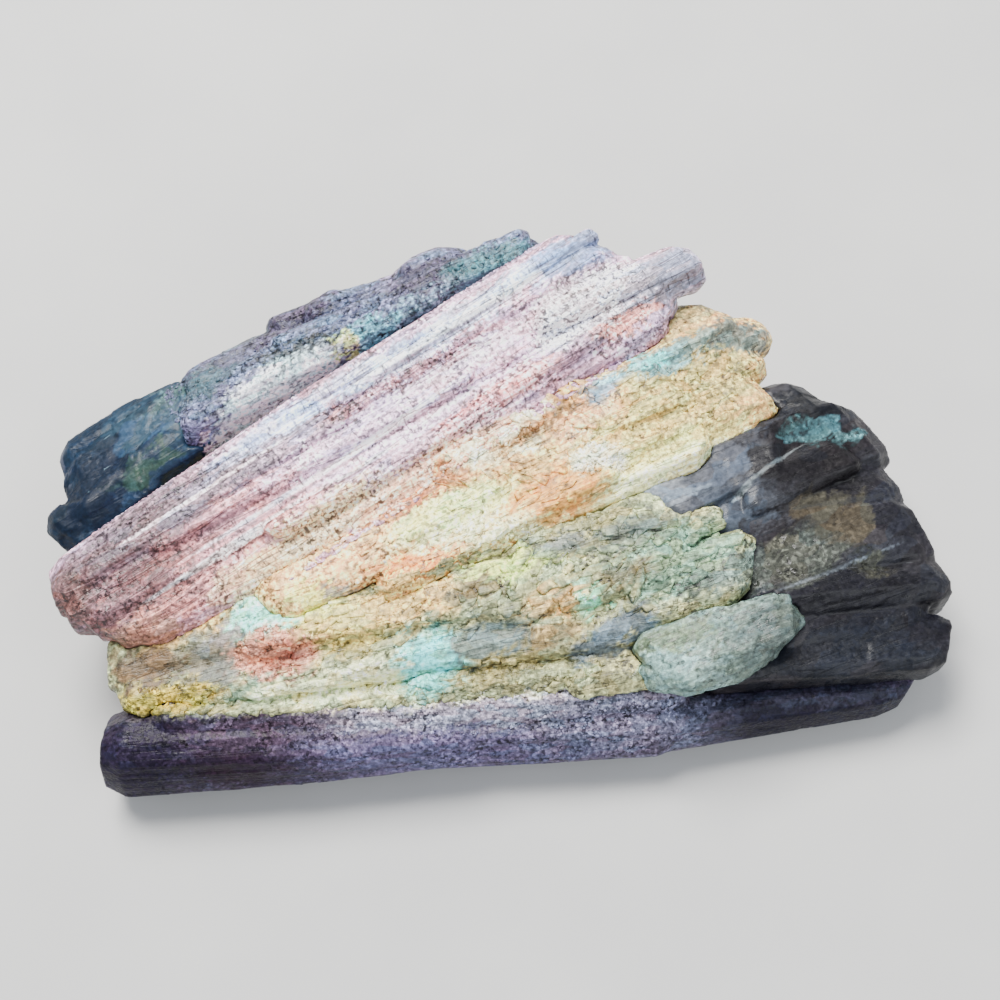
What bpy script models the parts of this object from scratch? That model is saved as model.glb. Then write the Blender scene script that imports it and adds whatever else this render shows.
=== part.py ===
"""A rubellite crystal cluster: pink tourmaline prisms grown together with quartz, feldspar, albite and lepidolite.

It lies on a flat base, +Z up, with its length along X and its origin under its middle. Each mineral body is one
solid. The prisms and blocks of a body overlap, so they are joined, and two bodies meet with a narrow seam.
"""

import math
import random
from collections import namedtuple

import bmesh
import bpy
from mathutils import Vector, noise

# Driving dimensions, in metres
MM = 0.001
SEAM = 0.3 * MM  # the gap between two bodies that meet
BASE_TOP = 13.0 * MM  # the top of the quartz base, under the crystals

# The worn ends of a column: how far in they reach and how much is left of the section, as shares of its width
WORN_LENGTH = 0.25
WORN_SIZE = 0.74

PRISM_SIDES = 12
PRISM_BULGE = 0.07  # how far the three edges of a prism stand out, as a share of its radius
PRISM_RIDGE = 0.03  # the same for the lengthwise ridges between them
BLOCK_CORNER = 57  # where a block's flat top ends, in degrees above its side
BLOCK_UNEVEN = 0.07  # how uneven the corners of a block are, as a share of its size
LUMP_UNEVEN = 0.3
WALL_UNEVEN = 1.5 * MM  # how far the broken walls of the base stand in and out
WALL_PITCH = 5.3 * MM  # how long one break of those walls is

# A column is a prism or a block. Its crest runs from foot to tip: x, y and the height of its top, in millimetres.
# width is across and deep is down, both at the foot, and taper is the size of the tip as a share of the foot.
# bow is how far the middle stands off the straight line, to the left seen from the foot. roll turns it about its
# axis, in degrees. foot_cut and tip_cut slant its two ends, as a slope across it.
Column = namedtuple(
    "Column",
    "foot tip width deep taper bow roll foot_cut tip_cut",
    defaults=(1.0, 0.0, 0.0, 0.0, 0.0),
)

# A lump is a rounded broken mass: its middle, its three half sizes and its turn about Z in degrees
Lump = namedtuple("Lump", "middle half turn", defaults=(0.0,))

RUBELLITE_SHEAF = [
    # The broad prisms that lie side by side, from the back edge to the front edge
    Column((-56.6, -14.4, 22.0), (9.6, 30.2, 29.2), 5.6, 11.0, 1.05, 0.8, 8, 0.5, -0.8),
    Column((-57.2, -16.6, 22.6), (13.0, 28.6, 29.7), 7.8, 11.0, 1.08, 0.0, -14, 0.3, -0.6),
    Column((-55.8, -18.4, 22.2), (17.4, 26.6, 29.0), 8.2, 11.0, 1.0, -0.8, 10, 0.2, -0.4),
    Column((-53.4, -20.0, 21.6), (20.6, 24.6, 28.3), 7.8, 11.0, 1.05, -1.4, -6, -0.2, -0.3),
    Column((-51.0, -21.2, 20.6), (21.4, 21.6, 27.3), 7.0, 10.0, 1.0, -2.2, 12, -0.5, 0.5),
    Column((-48.6, -21.2, 19.4), (8.0, 12.6, 26.2), 7.2, 9.0, 0.9, -2.4, -16, -0.6, 0.6),
    # The narrow ribs that stand on them
    Column((-22.4, 5.6, 27.1), (11.6, 30.0, 30.1), 1.9, 4.0, 1.0, 0.2, 25, 0.5, -0.5),
    Column((-45.0, -12.2, 23.9), (-4.0, 10.8, 27.5), 3.0, 5.0, 0.8, 0.0, -10, -0.5, 0.8),
    Column((-53.0, -15.8, 23.4), (-20.0, 5.4, 26.7), 2.6, 4.0, 0.8, 0.0, 0, 0.6, 0.9),
    Column((-30.0, -10.0, 24.4), (13.0, 17.0, 28.0), 3.2, 5.0, 0.8, -0.6, -24, -0.7, 0.4),
    # The square-ended prism that stands out at the right
    Column((4.0, 18.4, 28.8), (25.0, 27.2, 29.0), 6.6, 7.4, 1.0, 0.0, 4, 0.9, -0.3),
]

RUBELLITE_BAR = [
    Column((-51.4, -34.4, 13.4), (-4.0, -31.4, 12.4), 11.8, 12.2, 0.74, -0.6, 6, 0.12, -0.5),
    Column((-45.0, -30.6, 14.8), (24.0, -26.8, 13.4), 8.0, 11.0, 0.85, -1.0, -14, 0.1, 0.6),
    Column((-10.0, -31.2, 12.2), (53.2, -25.4, 8.4), 9.4, 10.0, 0.62, -1.6, 10, 0.5, 0.8),
    Column((-12.0, -27.4, 14.8), (20.0, -24.6, 14.6), 6.4, 9.0, 0.9, 0.3, 20, 0.2, -0.4),
    Column((-26.0, -33.8, 9.8), (22.0, -32.6, 8.6), 5.0, 6.4, 0.7, -0.6, -10, 0.6, 0.7),
]

FELDSPAR_COLUMNS = [
    Column((-31.0, -17.4, 20.8), (2.0, -0.2, 24.6), 8.5, 12.0, 1.1, -0.6, -8, -0.3, 0.5),
    Column((-16.0, -14.0, 21.8), (12.0, 0.8, 24.4), 8.5, 12.0, 1.1, -0.4, 4, 0.5, -0.7),
    Column((-6.0, -10.4, 22.4), (27.0, 4.8, 22.2), 7.6, 12.0, 1.0, 0.3, -5, 0.6, 0.6),
    Column((-8.0, -3.4, 24.6), (22.0, 10.8, 24.8), 8.6, 13.0, 1.0, 0.4, 6, -0.4, -0.8),
    Column((0.0, 3.8, 25.6), (28.6, 21.8, 23.2), 8.4, 14.0, 1.05, -0.4, -6, 0.4, -0.55),
    Column((6.0, 5.2, 25.4), (32.4, 17.8, 21.6), 9.4, 14.0, 0.95, 0.0, 8, -0.2, -0.35),
    Column((8.0, 0.2, 24.6), (33.6, 11.6, 21.2), 9.0, 13.0, 0.95, 0.4, -4, 0.5, -0.3),
    Column((2.0, -5.2, 23.4), (33.2, 8.6, 20.6), 5.6, 9.0, 0.9, 0.0, 14, 0.2, 0.2),
    Column((27.4, 19.2, 20.8), (35.0, 21.0, 18.8), 5.2, 6.0, 0.9, 0.0, -8, 0.3, -0.3),
    Lump((31.0, 18.6, 18.4), (4.2, 3.0, 3.4), 20),
]

SMOKY_QUARTZ = [
    Column((18.0, -5.4, 21.2), (36.4, 4.2, 20.4), 8.6, 12.0, 1.15, 0.3, 6, -0.4, 0.4),
    Column((26.0, 3.6, 20.4), (41.6, 11.2, 18.4), 9.4, 13.0, 0.95, 0.0, -8, 0.0, -0.3),
    Column((27.0, 1.0, 20.2), (47.8, 8.0, 16.8), 12.0, 13.0, 1.0, 0.0, 7, 0.2, -0.5),
    Column((25.0, -4.6, 19.8), (50.2, 1.6, 15.8), 12.5, 13.0, 1.0, 0.3, -6, 0.3, -0.35),
    Column((26.0, -10.4, 18.8), (54.6, -5.6, 14.8), 12.0, 13.0, 0.9, 0.0, 7, -0.3, -0.3),
    Column((30.0, -15.2, 17.4), (57.0, -11.2, 13.4), 9.6, 12.0, 0.9, 0.4, -7, 0.0, -0.3),
    Column((28.0, -19.6, 16.0), (55.0, -16.4, 12.4), 8.8, 9.0, 0.95, 0.0, 5, 0.2, 0.4),
    Column((26.0, -23.0, 14.8), (57.8, -20.8, 12.2), 8.4, 6.8, 0.85, -0.4, -6, 0.3, 0.3),
    Column((31.0, -3.2, 20.6), (45.0, 3.6, 18.4), 6.0, 6.0, 0.9, 0.0, 10, 0.5, -0.5),
]

ALBITE_BLADE = [
    Lump((27.4, -22.9, 15.4), (11.2, 4.7, 4.3), 24),
    Column((18.4, -26.0, 18.8), (36.4, -19.4, 19.6), 8.2, 5.0, 0.72, 0.4, 6, -0.4, 0.3),
]

BLUE_QUARTZ = [
    Column((-57.4, -2.0, 14.8), (-34.0, 13.6, 18.6), 12.4, 14.0, 0.75, 0.9, -12, 0.3, 0.4),
    Column((-59.0, 3.6, 13.2), (-41.0, 14.0, 16.0), 7.4, 11.0, 0.85, 0.4, 14, 0.2, -0.4),
    Column((-58.6, -6.4, 12.8), (-46.0, 3.4, 17.4), 7.6, 11.0, 1.1, 0.3, 10, -0.2, 0.3),
]

LEPIDOLITE_CRUST = [
    # The inner ledges, along the back of the sheaf
    Column((-42.5, 7.4, 20.2), (-8.0, 26.2, 24.8), 6.4, 9.0, 1.0, 0.4, -12, 0.3, 0.3),
    Column((-30.0, 15.8, 22.0), (3.4, 31.4, 25.4), 5.2, 9.0, 0.9, 0.3, 6, -0.3, 0.4),
    # The outer ledges and the lumps on them
    Column((-43.0, 12.8, 17.0), (-22.0, 22.0, 19.4), 6.2, 10.0, 1.0, 0.5, -8, 0.3, 0.5),
    Column((-31.0, 21.0, 18.2), (-12.0, 27.4, 20.2), 5.6, 9.0, 0.95, 0.4, 10, -0.4, 0.4),
    Column((-14.0, 26.0, 19.8), (5.4, 32.2, 22.6), 5.2, 9.0, 0.9, 0.4, -6, 0.5, -0.3),
    Lump((-23.6, 24.0, 16.2), (5.8, 3.1, 4.6), 28),
    Lump((-10.0, 29.0, 17.4), (7.0, 3.3, 5.0), 24),
    Lump((-0.6, 30.8, 19.2), (5.0, 2.6, 4.4), 20),
    # Behind the tips of the sheaf
    Lump((14.4, 31.2, 22.8), (6.0, 3.0, 5.0), -22),
]

QUARTZ_LEDGES = [
    # The granular top, from the left end to the smoky quartz
    Column((-50.6, -24.0, 15.4), (-22.0, -17.4, 19.6), 8.0, 9.0, 1.1, 0.4, 8, 0.3, 0.4),
    Column((-49.6, -27.4, 14.4), (-10.0, -22.2, 18.0), 7.4, 9.0, 1.1, -0.4, -7, -0.2, 0.6),
    Column((-30.0, -20.2, 19.0), (4.0, -15.8, 21.0), 8.6, 10.0, 1.1, 0.6, 5, 0.6, -0.5),
    Column((-16.0, -23.0, 18.0), (19.0, -19.2, 18.4), 8.4, 9.0, 1.0, 0.5, -8, 0.4, 0.7),
    Column((-6.0, -17.2, 21.0), (24.0, -11.0, 20.8), 9.0, 11.0, 1.0, -0.4, 6, -0.5, 0.4),
    Column((0.0, -11.4, 21.6), (27.0, -4.6, 21.0), 8.0, 11.0, 1.0, 0.5, -5, 0.4, -0.6),
    Column((14.0, -17.8, 19.8), (32.0, -11.8, 19.8), 9.0, 10.0, 1.0, 0.4, 9, -0.3, 0.5),
    Column((8.0, -24.4, 15.8), (40.0, -20.2, 15.6), 9.0, 9.0, 1.0, 0.0, 4, 0.3, 0.3),
    Lump((20.0, -8.6, 17.0), (6.4, 3.6, 4.4), 22),
    Lump((6.0, -20.8, 14.8), (6.0, 3.2, 4.6), 15),
    Lump((-28.6, -21.6, 15.6), (6.2, 3.4, 4.4), 14),
    # The broken back flank of the base
    Column((-50.0, 3.0, 9.6), (-30.0, 14.6, 10.8), 8.0, 8.6, 1.0, 0.5, 12, 0.4, 0.4),
    Column((-27.0, 18.6, 10.2), (-2.0, 27.4, 11.6), 8.0, 9.2, 1.0, 0.5, -10, 0.5, -0.4),
    Column((4.0, 26.6, 13.0), (26.0, 20.6, 14.0), 8.0, 10.6, 1.0, 0.3, 8, -0.4, 0.5),
]

# The foot print of the quartz base, in millimetres, anticlockwise from its front left corner
BASE_OUTLINE = [
    (-48, -32), (-30, -33.5), (-12, -31), (8, -30), (26, -27), (44, -24), (54, -19), (55.5, -12), (52, -4),
    (48, 5), (42, 11), (35, 16), (29, 21.5), (18, 26.5), (6, 31), (-8, 29), (-22, 23.5), (-38, 15.5),
    (-51, 8.5), (-57, 1), (-55, -9), (-49.5, -16), (-49, -24),
]
# The walls of the base: each level is its height and how far it stands in from the outline, in millimetres
BASE_LEVELS = [(0.0, 2.2), (2.8, 0.7), (6.0, 0.1), (9.6, 0.4), (BASE_TOP / MM, 1.6)]
BASE_HOLLOWS = [
    Lump((-26, -12, -1.2), (9.5, 6.0, 3.0), 30),
    Lump((24, 8, -1.4), (9.0, 6.5, 3.2), -20),
]

# Colours are linear red, green and blue
FINISHES = {
    "rubellite_sheaf": ((0.62, 0.45, 0.52), 0.42),
    "rubellite_bar": ((0.20, 0.15, 0.22), 0.45),
    "feldspar_columns": ((0.62, 0.48, 0.30), 0.60),
    "smoky_quartz": ((0.10, 0.09, 0.11), 0.28),
    "albite_blade": ((0.42, 0.46, 0.38), 0.50),
    "blue_quartz": ((0.13, 0.22, 0.26), 0.22),
    "lepidolite_crust": ((0.30, 0.28, 0.34), 0.65),
    "quartz_matrix": ((0.40, 0.42, 0.32), 0.60),
}


def clear_scene():
    for obj in list(bpy.data.objects):
        bpy.data.objects.remove(obj, do_unlink=True)


def tourmaline_profile(rng):
    """A rounded triangle with lengthwise ridges, the section of a tourmaline prism, one across each way."""
    turn = rng.choice((90, 270))
    points = []
    for step in range(PRISM_SIDES):
        angle = math.radians(360 * step / PRISM_SIDES + turn)
        radius = 0.5 * (1 + PRISM_BULGE * math.cos(3 * (angle - math.radians(turn))))
        radius *= 1 + PRISM_RIDGE if step % 2 else 1 - PRISM_RIDGE
        points.append((radius * math.cos(angle), radius * math.sin(angle)))
    return points


def block_profile(rng):
    """A square with cut corners, a little uneven, the section of a cleaved block, one across each way."""
    points = []
    for quarter in (0, 90, 180, 270):
        for corner in (90 - BLOCK_CORNER, BLOCK_CORNER):
            angle = math.radians(quarter + corner)
            reach = 0.5 / math.sin(math.radians(BLOCK_CORNER)) * (1 + rng.uniform(-BLOCK_UNEVEN, BLOCK_UNEVEN))
            points.append((reach * math.cos(angle), reach * math.sin(angle)))
    return points


def close_up(bm):
    """Fills the end that the first extrusion left open, turns the faces out and makes them all flat."""
    bmesh.ops.holes_fill(bm, edges=bm.edges)
    bmesh.ops.recalc_face_normals(bm, faces=bm.faces)
    bmesh.ops.triangulate(bm, faces=bm.faces, quad_method="FIXED", ngon_method="EAR_CLIP")


def column_mesh(column, profile, grow, rng, roughness):
    """A closed prism or block whose section is swept along a bent axis, with slanting, worn ends."""
    foot, tip = Vector(column.foot) * MM, Vector(column.tip) * MM
    foot.z -= column.deep * MM / 2
    tip.z -= column.deep * column.taper * MM / 2
    along = (tip - foot).normalized()
    left = Vector((0, 0, 1)).cross(along).normalized()
    up = along.cross(left)
    roll = math.radians(column.roll)
    worn = WORN_LENGTH * column.width * MM / (tip - foot).length
    # Each station is a share of the length, the size that is left of the section, its slant and its reach outwards
    stations = [
        (0.0, WORN_SIZE, column.foot_cut, -grow),
        (worn, 1.0, column.foot_cut, 0.0),
        (0.5, 1.0, 0.0, 0.0),
        (1.0 - worn, 1.0, column.tip_cut, 0.0),
        (1.0, WORN_SIZE, column.tip_cut, grow),
    ]
    bm = bmesh.new()
    bmesh.ops.create_circle(bm, cap_ends=True, segments=len(profile), radius=1.0)
    bm.faces.ensure_lookup_table()
    end = bm.faces[0]
    for index, (share, size, slant, reach) in enumerate(stations):
        if index:
            end = bmesh.ops.extrude_discrete_faces(bm, faces=[end])["faces"][0]
        middle = foot.lerp(tip, share) + left * (column.bow * MM * math.sin(math.pi * share))
        scale = size * (1 + (column.taper - 1) * share)
        wide = column.width * MM * scale + 2 * grow
        deep = column.deep * MM * scale + 2 * grow
        for vert, (across, rise) in zip(end.verts, profile):
            side = (across * math.cos(roll) - rise * math.sin(roll)) * wide
            lift = (across * math.sin(roll) + rise * math.cos(roll)) * deep
            rough = 1 + rng.uniform(-roughness, roughness)
            vert.co = middle + (left * side + up * lift) * rough + along * (reach + slant * side)
    close_up(bm)
    return bm


def lump_mesh(lump, grow, rng):
    """A closed, faceted lump."""
    bm = bmesh.new()
    bmesh.ops.create_icosphere(bm, subdivisions=2, radius=1.0)
    turn = math.radians(lump.turn)
    seed = Vector((rng.uniform(0, 50), rng.uniform(0, 50), rng.uniform(0, 50)))
    for vert in bm.verts:
        reach = 1 + LUMP_UNEVEN * noise.noise(vert.co * 1.9 + seed)
        x, y, z = [vert.co[i] * reach * (lump.half[i] * MM + grow) for i in range(3)]
        vert.co = Vector((x * math.cos(turn) - y * math.sin(turn), x * math.sin(turn) + y * math.cos(turn), z))
        vert.co += Vector(lump.middle) * MM
    return bm


def object_of(name, bm):
    mesh = bpy.data.meshes.new(name)
    bm.to_mesh(mesh)
    bm.free()
    obj = bpy.data.objects.new(name, mesh)
    bpy.context.scene.collection.objects.link(obj)
    return obj


def shapes(name, parts, profile, grow=0.0, roughness=0.0):
    """One object for each column or lump. The same name and part give the same shape at any grow."""
    made = []
    for index, part in enumerate(parts):
        rng = random.Random(f"{name} {index}")
        if isinstance(part, Lump):
            bm = lump_mesh(part, grow, rng)
        else:
            bm = column_mesh(part, profile(rng), grow, rng, roughness)
        made.append(object_of(f"{name}_part_{index}", bm))
    return made


def combine(target, others, operation):
    """Joins the others to the target or cuts them from it, one Boolean for all, and removes them."""
    group = bpy.data.collections.new("cutters")
    for other in others:
        group.objects.link(other)
    modifier = target.modifiers.new("combine", "BOOLEAN")
    modifier.operation = operation
    modifier.operand_type = "COLLECTION"
    modifier.collection = group
    modifier.solver = "EXACT"
    bpy.context.view_layer.update()
    graph = bpy.context.evaluated_depsgraph_get()
    mesh = bpy.data.meshes.new_from_object(target.evaluated_get(graph))
    target.modifiers.clear()
    target.data = mesh
    for other in others:
        bpy.data.objects.remove(other, do_unlink=True)
    bpy.data.collections.remove(group)


def drop_chips(obj):
    """Keeps the largest connected body of the mesh, because a cut can leave loose chips."""
    bm = bmesh.new()
    bm.from_mesh(obj.data)
    bmesh.ops.remove_doubles(bm, verts=bm.verts, dist=0.002 * MM)
    left, bodies = set(bm.verts), []
    while left:
        reached = [left.pop()]
        for vert in reached:
            for edge in vert.link_edges:
                other = edge.other_vert(vert)
                if other in left:
                    left.remove(other)
                    reached.append(other)
        bodies.append(reached)
    bodies.sort(key=len)
    for body in bodies[:-1]:
        bmesh.ops.delete(bm, geom=body, context="VERTS")
    bm.to_mesh(obj.data)
    bm.free()


def base_outline():
    """The outline of the base in metres, with the middle of each side added to its corners."""
    corners = [Vector((x, y, 0)) * MM for x, y in BASE_OUTLINE]
    outline = []
    for corner, following in zip(corners, corners[1:] + corners[:1]):
        outline += [corner, (corner + following) / 2]
    return outline


def base_object():
    """The quartz base: its outline carried up through broken walls to a flat top."""
    outline = base_outline()
    middle = sum(outline, Vector()) / len(outline)
    bm = bmesh.new()
    end = bm.faces.new([bm.verts.new(point) for point in outline])
    for level, (height, inset) in enumerate(BASE_LEVELS):
        if level:
            end = bmesh.ops.extrude_discrete_faces(bm, faces=[end])["faces"][0]
        for vert, point in zip(end.verts, outline):
            inward = (middle - point).normalized()
            wobble = WALL_UNEVEN * noise.noise(point / WALL_PITCH + Vector((0, 0, level * 3.7))) if level else 0.0
            vert.co = point + inward * (inset * MM + wobble)
            vert.co.z = height * MM
    close_up(bm)
    return object_of("quartz_matrix", bm)


def solid(name, parts, profile, neighbours, roughness):
    """One mineral body: its parts joined, less each neighbour grown by the seam."""
    first, *others = shapes(name, parts, profile, roughness=roughness)
    first.name = name
    combine(first, others, "UNION")
    cutters = []
    for other_name, other_parts, other_profile, other_roughness in neighbours:
        cutters += shapes(other_name, other_parts, other_profile, SEAM, other_roughness)
    if cutters:
        combine(first, cutters, "DIFFERENCE")
    drop_chips(first)
    return first


def finish(obj):
    colour, roughness = FINISHES[obj.name]
    material = bpy.data.materials.new(obj.name)
    material.use_nodes = True
    shader = material.node_tree.nodes["Principled BSDF"]
    shader.inputs["Base Color"].default_value = (*colour, 1)
    shader.inputs["Roughness"].default_value = roughness
    shader.inputs["Metallic"].default_value = 0.0
    obj.data.materials.clear()
    obj.data.materials.append(material)


def set_on_origin(objects):
    """Moves the whole cluster so that its box stands on the origin."""
    corners = [vert.co for obj in objects for vert in obj.data.vertices]
    low = Vector(min(c[i] for c in corners) for i in range(3))
    high = Vector(max(c[i] for c in corners) for i in range(3))
    shift = Vector((-(low.x + high.x) / 2, -(low.y + high.y) / 2, -low.z))
    for obj in objects:
        for vert in obj.data.vertices:
            vert.co += shift


def build():
    clear_scene()
    # Each body is cut by those before it, so the crystals that stand in front are whole
    bodies = [
        ("rubellite_sheaf", RUBELLITE_SHEAF, tourmaline_profile, 0.0),
        ("rubellite_bar", RUBELLITE_BAR, tourmaline_profile, 0.0),
        ("albite_blade", ALBITE_BLADE, block_profile, 0.06),
        ("feldspar_columns", FELDSPAR_COLUMNS, block_profile, 0.05),
        ("smoky_quartz", SMOKY_QUARTZ, block_profile, 0.05),
        ("lepidolite_crust", LEPIDOLITE_CRUST, block_profile, 0.09),
        ("blue_quartz", BLUE_QUARTZ, block_profile, 0.06),
    ]
    objects = []
    for index, (name, parts, profile, roughness) in enumerate(bodies):
        objects.append(solid(name, parts, profile, bodies[:index], roughness))
    base = base_object()
    combine(base, shapes("quartz_matrix", QUARTZ_LEDGES, block_profile, roughness=0.07), "UNION")
    cutters = shapes("hollows", BASE_HOLLOWS, block_profile)
    for name, parts, profile, roughness in bodies:
        cutters += shapes(name, parts, profile, SEAM, roughness)
    combine(base, cutters, "DIFFERENCE")
    drop_chips(base)
    objects.append(base)
    set_on_origin(objects)
    for obj in objects:
        finish(obj)


build()
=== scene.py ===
# Rubellite crystal cluster: prisms of pink tourmaline grown with quartz, feldspar, albite and lepidolite
import math
import random

import bmesh
import bpy
import numpy as np
from mathutils import Matrix, Vector, noise
from mathutils.bvhtree import BVHTree


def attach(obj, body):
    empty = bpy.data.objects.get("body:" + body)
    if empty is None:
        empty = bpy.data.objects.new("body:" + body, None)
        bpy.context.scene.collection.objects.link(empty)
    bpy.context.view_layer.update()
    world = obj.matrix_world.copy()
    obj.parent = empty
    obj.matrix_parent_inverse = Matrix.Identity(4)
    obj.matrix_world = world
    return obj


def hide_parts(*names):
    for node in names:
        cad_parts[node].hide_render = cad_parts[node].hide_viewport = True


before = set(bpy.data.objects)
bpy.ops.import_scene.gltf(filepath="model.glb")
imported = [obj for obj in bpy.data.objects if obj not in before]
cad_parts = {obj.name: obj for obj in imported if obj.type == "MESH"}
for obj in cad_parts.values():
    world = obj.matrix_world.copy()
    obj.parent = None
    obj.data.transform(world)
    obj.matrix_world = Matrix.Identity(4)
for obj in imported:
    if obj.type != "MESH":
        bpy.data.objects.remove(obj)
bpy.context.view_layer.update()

mm = 0.001
up = Vector((0, 0, 1))


# Meshes

def applyModifiers(piece):
    bpy.context.view_layer.update()
    graph = bpy.context.evaluated_depsgraph_get()
    mesh = bpy.data.meshes.new_from_object(piece.evaluated_get(graph))
    piece.modifiers.clear()
    old, piece.data = piece.data, mesh
    bpy.data.meshes.remove(old)
    mesh.name = piece.name


def full(numbers, third):
    return (numbers[0], numbers[1], numbers[2] if len(numbers) > 2 else third)


def newPiece(name, bm):
    mesh = bpy.data.meshes.new(name)
    bm.to_mesh(mesh)
    bm.free()
    piece = bpy.data.objects.new(name, mesh)
    bpy.context.scene.collection.objects.link(piece)
    return piece


def fineCopy(node, name, shape):
    # the CAD node with its triangles merged, remeshed finely and its stairs smoothed
    bm = bmesh.new()
    bm.from_mesh(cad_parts[node].data)
    bmesh.ops.remove_doubles(bm, verts=bm.verts, dist=0.001 * mm)
    piece = newPiece(name, bm)
    fine = piece.modifiers.new("fine", "REMESH")
    fine.mode = "VOXEL"
    fine.voxel_size = shape["voxel"] * mm
    fine.use_smooth_shade = True
    soften = piece.modifiers.new("soften", "SMOOTH")
    soften.factor = 0.5
    soften.iterations = shape["soften"]
    applyModifiers(piece)
    return piece


def grainAxes(shape):
    # rows: along the grain, across it and away from the floor
    turn, climb = math.radians(shape["turn"]), math.radians(shape["climb"])
    along = Vector((math.cos(turn) * math.cos(climb), math.sin(turn) * math.cos(climb), math.sin(climb)))
    across = up.cross(along).normalized()
    return np.array([along, across, along.cross(across)])


def pointsOf(mesh):
    flat = np.empty(len(mesh.vertices) * 3)
    mesh.vertices.foreach_get("co", flat)
    return flat.reshape(-1, 3)


def normalsOf(mesh):
    flat = np.empty(len(mesh.vertices) * 3)
    mesh.vertex_normals.foreach_get("vector", flat)
    return flat.reshape(-1, 3)


def smoothStep(value):
    share = np.clip(value, 0, 1)
    return share * share * (3 - 2 * share)


def crystalPlaces(places, look):
    # the middle of the long crystal that each point is in, so that zones end at straight edges, stippled by small grains
    turn = math.radians(look["turn"])
    ahead, aside = math.cos(turn), math.sin(turn)
    along, across = look["cell"]
    keep, ragged, stipple, size = look["keep"], look["ragged"], look["stipple"], look["grainSize"]
    found = []
    for x, y, z in places.tolist():
        push = noise.noise_vector((x * 0.33, y * 0.33, z * 0.33))
        a, b = (x * ahead + y * aside) / along, (y * ahead - x * aside) / across
        _, middles = noise.voronoi((a + push.x * 0.35, b + push.y * 0.35, z / across + push.z * 0.35))
        a, b, c = middles[0].x * along, middles[0].y * across, middles[0].z * across
        grain = noise.cell_vector((x / size + push.x * 3, y / size + push.y * 3, z / size + push.z * 3))
        found.append((
            a * ahead - b * aside + (x - a * ahead + b * aside) * keep + push.x * ragged * 0.5 + (grain.x - 0.5) * stipple,
            a * aside + b * ahead + (y - a * aside - b * ahead) * keep + push.y * ragged * 0.5 + (grain.y - 0.5) * stipple,
            c + (z - c) * keep + push.z * ragged * 0.5 + (grain.z - 0.5) * stipple,
        ))
    return np.array(found)


def zonesOf(points, look):
    # the paint at each point, and how granular the surface is there
    places = crystalPlaces(points / mm, look)
    scale = 1 / look["mottle"]
    broad = [noise.fractal((x * scale, y * scale, z * scale), 0.8, 2.0, 3) for x, y, z in places.tolist()]
    share = smoothStep(np.array(broad) * 0.9 + 0.5)[:, None]
    first, second = (np.array(seen(colour)) for colour in look["colours"])
    paint = first + (second - first) * share
    grit = np.full(len(points), look["grit"])
    for patch in look["patches"]:
        offset = (points / mm if "straight" in patch else places) - full(patch["at"], 15)
        turn = math.radians(patch.get("turn", 0))
        along = offset[:, 0] * math.cos(turn) + offset[:, 1] * math.sin(turn)
        across = offset[:, 1] * math.cos(turn) - offset[:, 0] * math.sin(turn)
        away = np.linalg.norm(np.stack([along, across, offset[:, 2]], 1) / full(patch["half"], 60), axis=1)
        soft = patch.get("soft", 0.25)
        share = smoothStep((1 + soft - away) / (2 * soft)) * patch.get("strength", 0.92)
        paint += (np.array(seen(patch["tint"])) - paint) * share[:, None]
        grit += (patch.get("grit", look["grit"]) - grit) * share
    clumps = [noise.fractal((x * 0.3, y * 0.3, z * 0.3 + 6), 0.7, 2.0, 2) for x, y, z in (points / mm).tolist()]
    return paint, grit * (0.75 + 0.7 * np.clip(clumps, -0.6, 0.6))


def addAttribute(piece, name, values):
    attribute = piece.data.attributes.new(name, "FLOAT", "POINT")
    attribute.data.foreach_set("value", np.asarray(values, dtype=np.float32))


def addPaint(piece, paint):
    attribute = piece.data.attributes.new("zone", "FLOAT_COLOR", "POINT")
    colours = np.hstack([paint, np.ones((len(paint), 1))]).astype(np.float32)
    attribute.data.foreach_set("color", colours.ravel())


def carve(piece, shape, look, relief):
    # moves each point along its normal by the swelling that closes the seam and by relief, in millimetres
    mesh = piece.data
    points, normals = pointsOf(mesh), normalsOf(mesh)
    paint, grit = zonesOf(points, look)
    axes = grainAxes(shape)
    along, across, rise = (points @ axes.T / mm).T.tolist()
    lean = np.abs(normals @ axes[0]).tolist()
    heights = np.array([relief(*each) for each in zip(along, across, rise, lean, grit.tolist())])
    moved = points + normals * ((heights + shape["swell"]) * mm)[:, None]
    moved[:, 2] = np.maximum(moved[:, 2], 0.0)
    mesh.vertices.foreach_set("co", moved.ravel())
    mesh.update()
    addAttribute(piece, "grit", grit)
    addPaint(piece, paint)


def markBulge(piece, rounds=4, gain=1.1):
    # an attribute that is over 0.5 where the surface stands out from its surroundings and under 0.5 in hollow places,
    # from which the materials paint highlight and shade
    mesh = piece.data
    points, normals = pointsOf(mesh), normalsOf(mesh)
    ends = np.empty(len(mesh.edges) * 2, dtype=np.int32)
    mesh.edges.foreach_get("vertices", ends)
    first, second = ends.reshape(-1, 2).T
    count = len(points)
    links = np.bincount(first, minlength=count) + np.bincount(second, minlength=count)
    smooth = points.copy()
    for _ in range(rounds):
        total = np.empty_like(smooth)
        for axis in range(3):
            total[:, axis] = np.bincount(first, smooth[second, axis], count)
            total[:, axis] += np.bincount(second, smooth[first, axis], count)
        smooth = (smooth + total / np.maximum(links, 1)[:, None]) / 2
    standing = ((points - smooth) * normals).sum(axis=1) / mm
    addAttribute(piece, "bulge", np.clip(0.5 + gain * standing * 3, 0, 1))


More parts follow.
